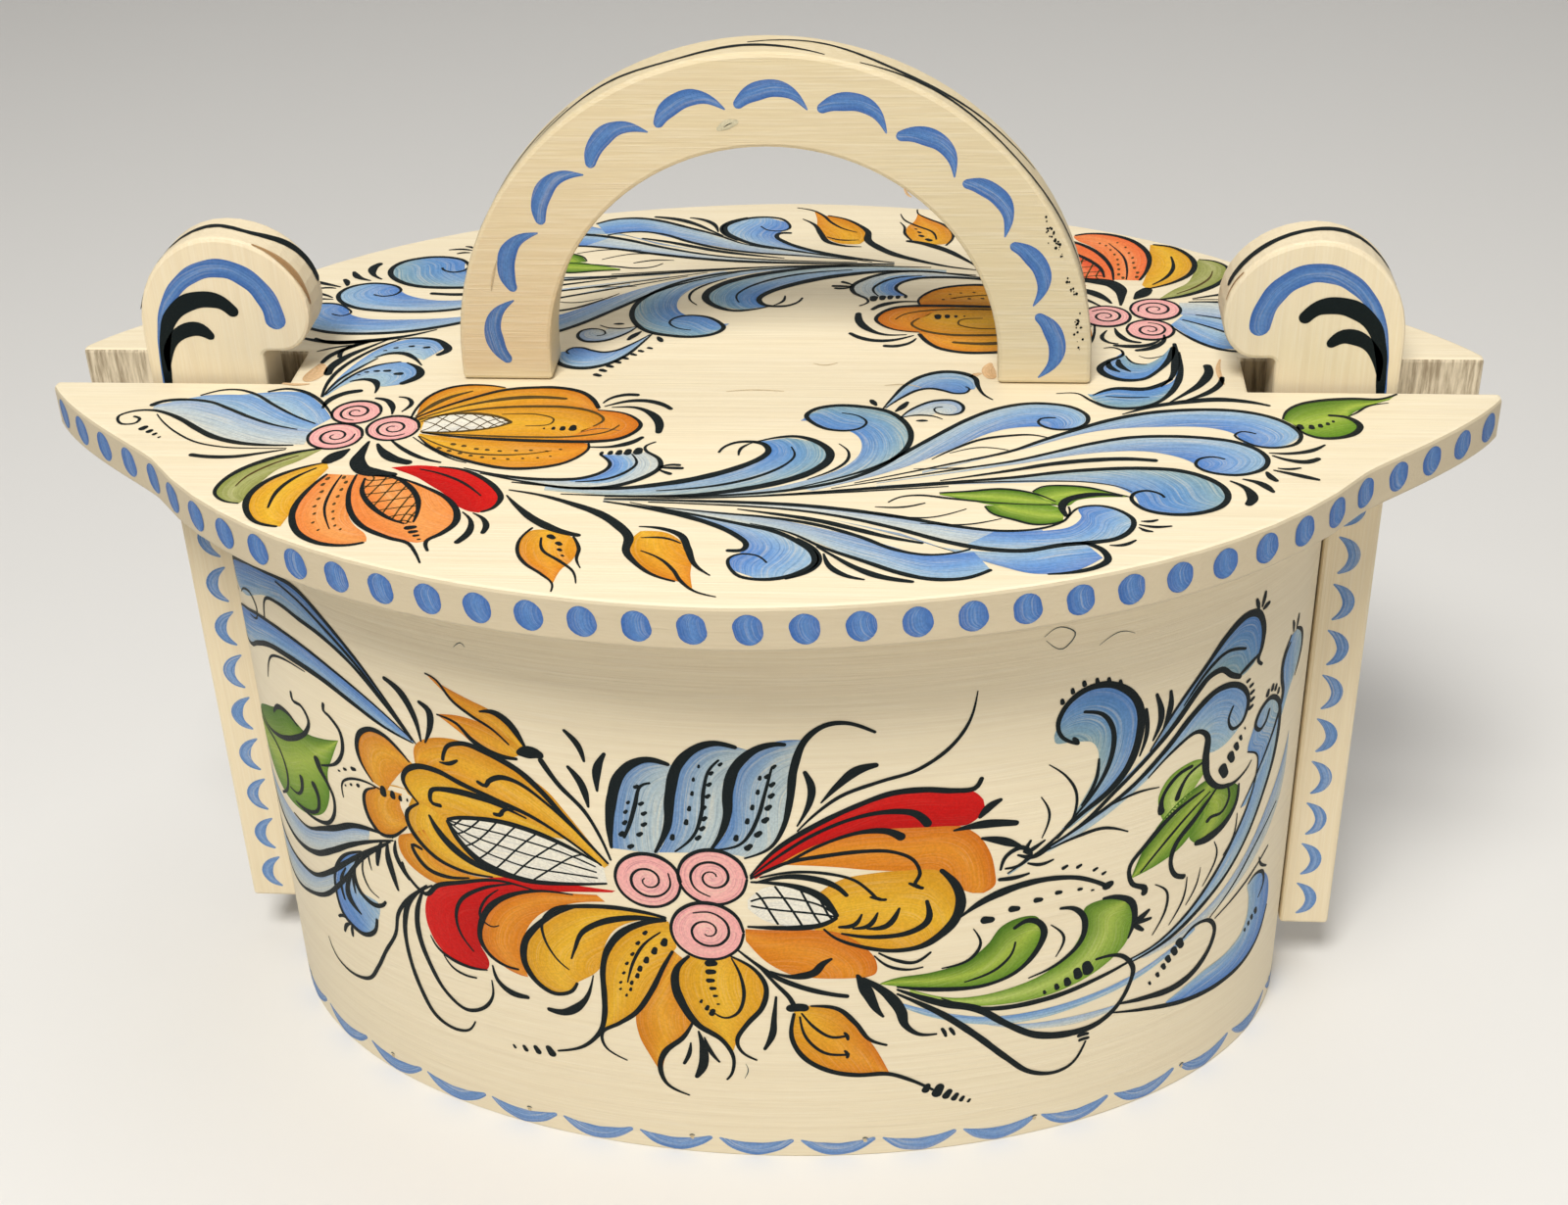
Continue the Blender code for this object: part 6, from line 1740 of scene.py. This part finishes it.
BAND_DOTS = (
    ("261,98.7 264,98.7 266.3,98.5 268.5,98.7", 3.8, 1.2, (0.1, 1.0), "ink"),
    ("251.6,101.8 248.4,100.4 246,98.9", 2.2, 1.1, (1.0, 0.2), "ink"),
    ("252.4,97.1 249.8,96.3 247.6,95.1", 2.0, 1.1, (0.6, 0.5), "ink"),
    ("301.4,28.1 297.6,27.5 294.2,27 291.1,26.7", 3.8, 1.5, (-0.5, 1.0), "ink"),
    ("397.6,21.8 400.6,20.6", 3.4, 4.8, (0.4, 1.0), "ink"),
    ("403,19 405,17.7 406.8,16.7 408.6,15.7", 3.4, 1.4, (0.6, 1.0), "ink"),
    (
        "334,70 331.4,67 329.2,63.8 327.4,60.8 326.6,58.4 325,55.9 324.6,53.7 323.4,51.6",
        3.0, 1.2, (0.3, 1.0), "ink",
    ),
    (
        "329.4,72.4 327.4,68.9 325.8,65.2 324.2,62 323.2,58.8 322.2,55.6 322,53.4",
        1.9, 1.1, (0.6, 0.8), "ink",
    ),
    ("345.2,64.4 345,61.7 344.8,58.9 345.3,56.4 345.8,54 346.4,51.4", 3.6, 1.0, (1.0, 0.1), "ink"),
    ("342.2,52 343.6,50 344.8,48.6", 1.4, 2.6, (0.4, 1.0), "ink"),
    ("327.8,111.4 327,108.6 326.6,105.4 325.6,102", 1.4, 2.2, (0.6, 0.8), "ink"),
    ("330,116.2 330.9,111.4 331.4,108.6 331.2,105.4 330,102.4 327.6,98.5", 1.8, 2.2, (0.8, 0.6), "ink"),
    ("345,123.2 343.6,119.4 343.1,115.4 342.2,111 341.3,107 337.8,102.3", 1.2, 2.2, (0.2, 1.0), "ink"),
    (
        "350,124 347.8,121.4 347.2,118.2 346.7,114.8 345.6,111.4 345.6,108.3 345,105.4 343.9,102.6",
        1.6, 2.2, (0.7, 0.7), "ink",
    ),
    ("358.9,120.4 358.3,116.4 356.9,112 355.6,108 352.8,103", 1.6, 2.2, (0.2, 1.0), "ink"),
    (
        "362.2,123.6 360.6,120.9 361.7,118.6 361.4,115.4 360.6,112 359.8,108.4 358,104.3 355.6,100.4",
        1.8, 2.8, (0.7, 0.7), "ink",
    ),
    ("412.2,74.3 418.8,76.4 424.8,77.8 430,78.8 435.6,78.3 439,77", 4.0, 1.1, (1.0, -0.1), "ink"),
    ("431.3,86.2 435,85.5 439.4,83.3 441.8,81.4", 1.9, 1.5, (1.0, 0.5), "ink"),
    ("428.6,134.6 431,137 433.8,138.4 437,138.4 440,137.8 443,136.4", 2.0, 2.0, (-0.2, 1.0), "ink"),
    ("482,123 483.4,121 484,118.8 484.3,116.6 484,114.4", 1.8, 2.2, (1.0, 0.3), "ink"),
    ("490.8,115.2 492.8,115.8 494.4,115 496,113.2", 2.6, 2.2, (0.2, 1.0), "ink"),
    ("476,99.2 478.3,102.3 479.9,104.7 481.2,106.7 482.5,108.9", 5.0, 1.0, (0.5, -1.0), "ink"),
    ("427.5,47.8 430.7,48.7 433.5,49.5 436.2,51.4 438.8,52.4", 1.6, 5.2, (-0.3, 1.0), "ink"),
    ("457.5,40.3 459.8,42.1 461.5,44.1 462.8,46 464.6,47.8 466.3,49.6", 1.5, 4.0, (0.5, -1.0), "ink"),
    ("491.8,40 493.4,41.2 494.8,42.4 496.6,43.4", 1.6, 2.8, (0.4, -1.0), "ink"),
)
BAND_NET_LEFT = ((0.22, 0.48, 0.74), np.linspace(0.1, 0.8, 7), 0.5)
BAND_NET_RIGHT = ((0.3, 0.62), np.linspace(0.12, 0.72, 4), 0.6)
BAND_DOT_SIZE = 0.82

# The border round the foot, and each dab of it as lengths from its start, and heights
FOOT_START, FOOT_COUNT = 10.8, 34
FOOT_DAB = ((0.0, 5.9), (4.4, 3.5), (9.5, 2.6), (14.6, 3.7), (19.0, 6.0))
FOOT_WIDTHS = (0.4, 3.6, 4.4, 3.4, 1.0)


def paint_side():
    """The painting on the front, and again half the girth further on, with dabs round the foot."""
    for shift, name in ((0.0, "front"), (GIRTH / 2, "back")):
        sheet = Sheet(lambda s, z, lift, shift=shift: band_chart(s + shift, z, lift))
        fills(sheet, BAND_FILLS)
        net(sheet, fill(sheet, ["white"], *BAND_SEED_LEFT), *BAND_NET_LEFT, "ink")
        net(sheet, fill(sheet, ["white"], *BAND_SEED_RIGHT), *BAND_NET_RIGHT, "ink")
        for s, z, radius, start in BAND_ROSES:
            rose(sheet, s, z, radius, start)
        lines(sheet, BAND_LINES)
        for text, first, last, lean, paint in BAND_DOTS:
            dots(sheet, text, first * BAND_DOT_SIZE, last * BAND_DOT_SIZE, lean, paint)
        sheet.build(f"side_painting_{name}", "box")
    foot = Sheet(band_chart)
    for index in range(FOOT_COUNT):
        at = FOOT_START + GIRTH * index / FOOT_COUNT
        curve = [(at + ahead, height) for ahead, height in FOOT_DAB]
        stroke(foot, curve, FOOT_WIDTHS, "pale border", FILL_LIFT)
    foot.build("side_foot_border", "box")


# The handle's dabs in degrees from its right foot, each as lengths ahead and outward
HANDLE_DAB_COUNT, HANDLE_DAB_START, HANDLE_DAB_PITCH = 11, 4.5, 16.85
HANDLE_DAB = ((8.2, -1.2), (4.6, 1.6), (-0.5, 3.0), (-4.6, 2.0), (-8.6, -1.4))
HANDLE_DAB_WIDTHS = (1.9, 4.3, 4.4, 2.6, 0.3)


def paint_handle():
    """Eleven blue comma strokes round both faces, and wavy hair lines on the rim."""
    centre = np.array(HANDLE_MIDDLE)
    middle = (HANDLE_OUTER + HANDLE_INNER) / 2
    for side, name in ((-1, "front"), (1, "back")):
        sheet = Sheet(face_chart(side))
        for index in range(HANDLE_DAB_COUNT):
            turn = math.radians(HANDLE_DAB_START + HANDLE_DAB_PITCH * index)
            spine = []
            for ahead, out in HANDLE_DAB:
                angle = turn + ahead / middle
                spine.append(centre + (middle + out) * np.array([math.cos(angle), math.sin(angle)]))
            stroke(sheet, spine, HANDLE_DAB_WIDTHS, "border", FILL_LIFT)
        sheet.build(f"handle_{name}_border", "lid")
    rim = Sheet(wall_chart(arc(centre, (HANDLE_OUTER,) * 2, 0, 180, 96), True))
    lines(rim, HANDLE_RIM_LINES)
    rim.build("handle_rim_lines", "lid")


# The lid edge's dabs: their pitch, margins below and above, half the lean, and widths
EDGE_PITCH, EDGE_BELOW, EDGE_ABOVE, EDGE_LEAN = 11.6, 1.9, 1.7, 0.6
EDGE_WIDTHS = (5.8, 6.4, 5.8)


def paint_lid_edge():
    """Blue oval dabs round the lid's wall, on both long sides."""
    outline = lid_side()
    length = run_of(outline)[-1]
    for turn, name in ((1, "front"), (-1, "back")):
        sheet = Sheet(wall_chart(outline * turn, False))
        count = round(length / EDGE_PITCH)
        low, high = LID_LOW + EDGE_BELOW, LID_TOP - EDGE_ABOVE
        for index in range(count):
            at = (index + 0.5) * length / count
            stroke(sheet, [(at - EDGE_LEAN, high), (at + EDGE_LEAN, low)], EDGE_WIDTHS, "border", FILL_LIFT)
        sheet.build(f"lid_edge_dots_{name}", "lid")


def paint_post(side, name):
    """Half-moon dabs up the shank's outer edge, a comma and two dark leaves on the head, and a rim line."""
    body = f"post_{name}"
    for face, face_name in ((-1, "front"), (1, "back")):
        sheet = Sheet(face_chart(face))
        for index in range(MOON_COUNT):
            middle = MOON_TOP - MOON_PITCH * index
            moon = [(side * (MOON_X + out), middle + up) for out, up in POST_MOON]
            stroke(sheet, moon, MOON_WIDTHS, "pale border", FILL_LIFT)
        for paint, widths, text in HEAD_STROKES:
            lift = FILL_LIFT if paint == "border" else LINE_LIFT
            stroke(sheet, path(text) * (side, 1), widths, paint, lift)
        sheet.build(f"{body}_{face_name}_painting", body)
    rim = Sheet(wall_chart(head_rim(side), True))
    for paint, marks in (("ink", HEAD_RIM_LINES), ("rubbed", HEAD_RIM_BARE)):
        widths, text = marks[name]
        stroke(rim, path(text), widths, paint)
    rim.build(f"{body}_rim_line", body)


# The posts' half-moons: their count, pitch and first place, and each one's path and widths
MOON_COUNT, MOON_PITCH, MOON_TOP, MOON_X = 11, 13.7, 163.3, 142.3
MOON_WIDTHS = (0.4, 2.5, 3.3, 2.5, 0.5)
POST_MOON = ((0.0, 5.4), (3.1, 3.0), (4.3, 0.0), (3.4, -3.0), (0.6, -5.2))
HANDLE_RIM_LINES = (
    (0.4, 1.8, 1.0, 1.7, 0.4, "14,2 34,-1 54,-4 78,-2 98,-4.5"),
    (0.4, 1.2, 1.8, 0.9, 0.4, "48,4 68,1 88,-1 108,3 124,1"),
    (0.4, 1.9, 1.0, 1.8, 0.4, "106,-4.5 124,-1 142,-3 160,1 180,-3"),
    (0.4, 1.7, 1.0, 1.5, 0.4, "170,3 188,0 206,-3 222,1 234,-2"),
)
HEAD_STROKES = (
    (
        "border", (0.9, 1.2, 2.6, 4.4, 5.2, 5.0),
        "149,171.8 148.4,184 147.4,193 145.2,200.6 141,206.8 135,210.8 128.5,211.4 122.6,208.2 "
        "118.9,202.4 117.9,195.6",
    ),
    (
        "ink", (1.6, 2.2, 3.0, 4.9, 2.8),
        "148,171.8 147.6,182.8 146.8,191 144.2,198.4 138.6,202.8 131.6,203 127.4,199.2",
    ),
    ("ink", (0.6, 2.6, 3.0, 4.3, 1.8), "147,184 145.8,190.4 142.4,194.4 137.8,195.6 134.2,193"),
)
HEAD_RIM_LINES = {
    "left": ((2.4, 2.9, 1.4, 2.6, 1.6, 0.8), "3,5 13,4 24,-0.5 34,1 47,-1.5 62,-6"),
    "right": ((0.8, 1.6, 2.7, 1.5, 2.6, 2.8), "6,4 17,2 28,2.5 40,0 52,-1.5 62,-2"),
}
HEAD_RIM_BARE = {
    "left": ((0.6, 2.4, 3.4, 1.8, 0.5), "1,-4.5 5,-5 10,-5.2 16,-5.6 22,-6"),
    "right": ((0.4, 1.0, 0.4), "56,-6.2 60,-5.6 64,-6"),
}

# Wear, in the millimetres of each surface
LID_SCUFFS = (
    ("bare", (0.8, 3.0, 3.8, 1.8), "55.6,5 55,2.4 55.2,-1 56,-4"),
    ("bare", (0.4, 2.0, 0.6), "50.6,-3 52,-1.6 53.4,-1"),
    ("bare", (2.4, 5.0, 4.4, 1.4), "-112.4,-8.6 -111.4,-5.6 -110.6,-2 -111,1.6"),
    ("bare", (0.5, 1.6, 0.6), "-111,-9.8 -114,-10.2 -118,-9.6"),
    ("bare", (0.5, 1.5, 0.6), "111.4,8 110.4,2 111,-6"),
    ("pale scuff and dimple shade", (0.2, 0.6, 0.2), "12,4 15,3 18,4.4"),
    ("pale scuff and dimple shade", (0.2, 0.5, 0.2), "-8,-12 -2,-11 6,-11.6"),
    ("pale scuff and dimple shade", (0.2, 0.6, 0.2), "30,-8 35,-7.4 39,-9"),
    ("thin", (0.1, 0.35, 0.1), "-40,-34 -36,-32 -31,-33"),
)
HANDLE_SCUFFS = (
    ("smudge", (0.8, 2.6, 0.8), "-8,246 -5.4,247.4 -3,248"),
    ("thin", (0.1, 0.3, 0.1), "-6.4,246.6 -5.2,247.4 -4.4,247.6"),
    ("pale scuff and dimple shade", (0.3, 0.8, 0.2), "-64,206 -63.2,210 -61.8,214"),
    ("bare", (0.3, 0.8, 0.3), "34.6,232 35.6,230.4 36.4,230"),
)
SPECK_COUNT, SPECK_RADIUS = 54, 74.2
SPECK_LEAST, SPECK_MOST = 0.25, 0.95
SPECK_TURNS = (0.13, 0.15, 0.29, 0.44, 0.49)
SIDE_SCUFFS = (
    ("thin", (0.1, 0.3, 0.3, 0.1), "424,152 428,149 431,152.6 427,155 423.6,153"),
    ("thin", (0.1, 0.25, 0.1), "437,148 442,150.4 446,149"),
    ("pale scuff and dimple shade", (0.3, 0.8, 0.2), "327,161 333,162.4 339,161.4"),
    ("thin", (0.1, 0.3, 0.1), "352,27 353,30 352.4,32"),
    ("thin", (0.1, 0.3, 0.1), "288,148 290,149.6 291,148.6"),
)


def paint_wear_and_dimple_shade():
    """Wood rubbed bare by the handle and posts, scuffs, specks, and over each brad a darker disc with a
    dark arc above it, painted as the shade of a filled dimple.
    """
    lid = Sheet(lid_chart)
    handle = Sheet(face_chart(-1))
    side = Sheet(band_chart)
    for sheet, rows in ((lid, LID_SCUFFS), (handle, HANDLE_SCUFFS), (side, SIDE_SCUFFS)):
        for paint, widths, text in rows:
            stroke(sheet, path(text), widths, paint)
    chance = np.random.default_rng(7)
    for turn, reach, width in chance.normal((0.0, 0.0, 0.55), (0.035, 1.0, 0.2), (SPECK_COUNT, 3)):
        turn += SPECK_TURNS[int(chance.integers(len(SPECK_TURNS)))]
        way = np.array([math.cos(turn), math.sin(turn)])
        spot = np.array(HANDLE_MIDDLE) + (SPECK_RADIUS - abs(reach)) * way
        width = min(max(width, SPECK_LEAST), SPECK_MOST)
        stroke(handle, [spot, spot + np.array([0.3, 0.9]) * width], (width, width * 0.6), "ink")
    # Over each brad, a darker disc and a thin dark arc above it, painted as the shade in a filled dimple
    for index in range(BRAD_COUNT):
        at = BRAD_START + GIRTH * index / BRAD_COUNT
        stroke(side, [(at - 0.5, 5.1), (at + 0.5, 5.4)], (1.3, 1.2), "pale scuff and dimple shade")
        stroke(side, [(at - 0.7, 5.9), (at, 6.3), (at + 0.7, 6.0)], (0.2, 0.5, 0.2), "thin")
    lid.build("lid_scuffs", "lid")
    handle.build("handle_scuffs", "lid")
    side.build("side_scuffs_and_dimple_shade", "box")


def dress_frame(frame):
    finishes = {
        "lid_board": "lid paint", "handle": "shaded handle paint", "post_left": "post paint",
        "post_right": "post paint", "bottom_board": "bare pine",
    }
    for name, node in frame["nodes"].items():
        finish = finishes.get(name, "peg birch" if "peg" in name else "dull steel")
        node.data.materials.clear()
        node.data.materials.append(bpy.data.materials[finish])
    lid = frame["nodes"]["lid_board"].data
    lid.materials.append(bpy.data.materials["sawn end"])
    for face in lid.polygons:
        x, y = abs(face.center.x) / MM, abs(face.center.y) / MM
        if abs(face.normal.z) < 0.5 and x > NOTCH_END - 1 and y < NOTCH_HALF + 0.5:
            face.material_index = 1


# The camera's place in metres, its turns in radians about Z, X and Y, and its lens in millimetres
CAMERA_PLACE = (0.0480, -0.4847, 0.4174)
CAMERA_TURNS = (0.0307, 1.0144, 0.0522)
CAMERA_LENS, CAMERA_SENSOR = 50.33, 36.0


def add_camera():
    camera = bpy.data.objects.new("camera", bpy.data.cameras.new("camera"))
    camera.data.lens, camera.data.sensor_width = CAMERA_LENS, CAMERA_SENSOR
    camera.data.clip_start, camera.data.clip_end = 0.01, 20.0
    first, second, third = (Matrix.Rotation(turn, 4, axis) for turn, axis in zip(CAMERA_TURNS, "ZXY"))
    camera.matrix_world = Matrix.Translation(CAMERA_PLACE) @ (first @ second @ third)
    bpy.context.collection.objects.link(camera)
    bpy.context.scene.camera = camera


def add_light(name, place, target, size, power, colour):
    lamp = bpy.data.lights.new(name, "AREA")
    lamp.shape, lamp.size, lamp.energy, lamp.color = "SQUARE", size, power, colour
    light = bpy.data.objects.new(name, lamp)
    light.location = place
    light.rotation_euler = (Vector(target) - Vector(place)).to_track_quat("-Z", "Y").to_euler()
    bpy.context.collection.objects.link(light)


# The floor in metres: its half width, front end, start and radius of the sweep, and backdrop's top
FLOOR_HALF, FLOOR_FRONT, SWEEP_START, SWEEP_RADIUS, BACKDROP_TOP = 4.0, -3.0, 1.6, 0.6, 3.0
FLOOR_COLOUR, SKY_COLOUR, SKY_STRENGTH = (0.80, 0.79, 0.77, 1.0), (1.0, 0.98, 0.95, 1.0), 0.18

# The lamps, each with its place, target, size, power and colour
LAMPS = (
    ("key", (-0.18, -0.85, 1.45), (0, 0, 0.12), 0.5, 23.0, (1.0, 0.98, 0.94)),
    ("side", (1.5, -0.85, 0.5), (0.1, 0, 0.08), 1.0, 1.8, (1.0, 0.96, 0.9)),
    ("top", (0.2, 0.3, 1.7), (0, 0, 0.15), 1.0, 6.0, (1.0, 1.0, 1.0)),
    ("front", (0.5, -1.6, 0.5), (0, 0, 0.1), 1.6, 2.6, (1.0, 0.95, 0.88)),
)


def add_stage():
    """A pale floor that sweeps up into a backdrop, soft lights and a pale sky."""
    profile = [(FLOOR_FRONT, 0.0), (SWEEP_START, 0.0)]
    for turn in np.linspace(0.1, math.pi / 2, 14):
        y, z = SWEEP_START + SWEEP_RADIUS * math.sin(turn), SWEEP_RADIUS - SWEEP_RADIUS * math.cos(turn)
        profile.append((y, z))
    profile.append((SWEEP_START + SWEEP_RADIUS, BACKDROP_TOP))
    corners = [(x, y, z) for y, z in profile for x in (-FLOOR_HALF, FLOOR_HALF)]
    faces = [(2 * k, 2 * k + 1, 2 * k + 3, 2 * k + 2) for k in range(len(profile) - 1)]
    mesh = bpy.data.meshes.new("floor")
    mesh.from_pydata(corners, [], faces)
    mesh.shade_smooth()
    tree = Tree("pale paper")
    tree.put(tree.shader.inputs["Base Color"], FLOOR_COLOUR)
    tree.put(tree.shader.inputs["Roughness"], 0.9)
    mesh.materials.append(tree.material)
    floor = bpy.data.objects.new("floor", mesh)
    bpy.context.collection.objects.link(floor)
    world = bpy.data.worlds.new("studio")
    world.use_nodes = True
    sky = world.node_tree.nodes["Background"]
    sky.inputs["Color"].default_value = SKY_COLOUR
    sky.inputs["Strength"].default_value = SKY_STRENGTH
    bpy.context.scene.world = world
    for lamp in LAMPS:
        add_light(*lamp)
    bpy.context.scene.view_settings.view_transform = "Standard"


def main():
    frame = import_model()
    add_materials()
    dress_frame(frame)
    add_side()
    paint_lid()
    paint_lid_edge()
    paint_side()
    paint_handle()
    paint_post(-1, "left")
    paint_post(1, "right")
    paint_wear_and_dimple_shade()
    add_camera()
    add_stage()


main()
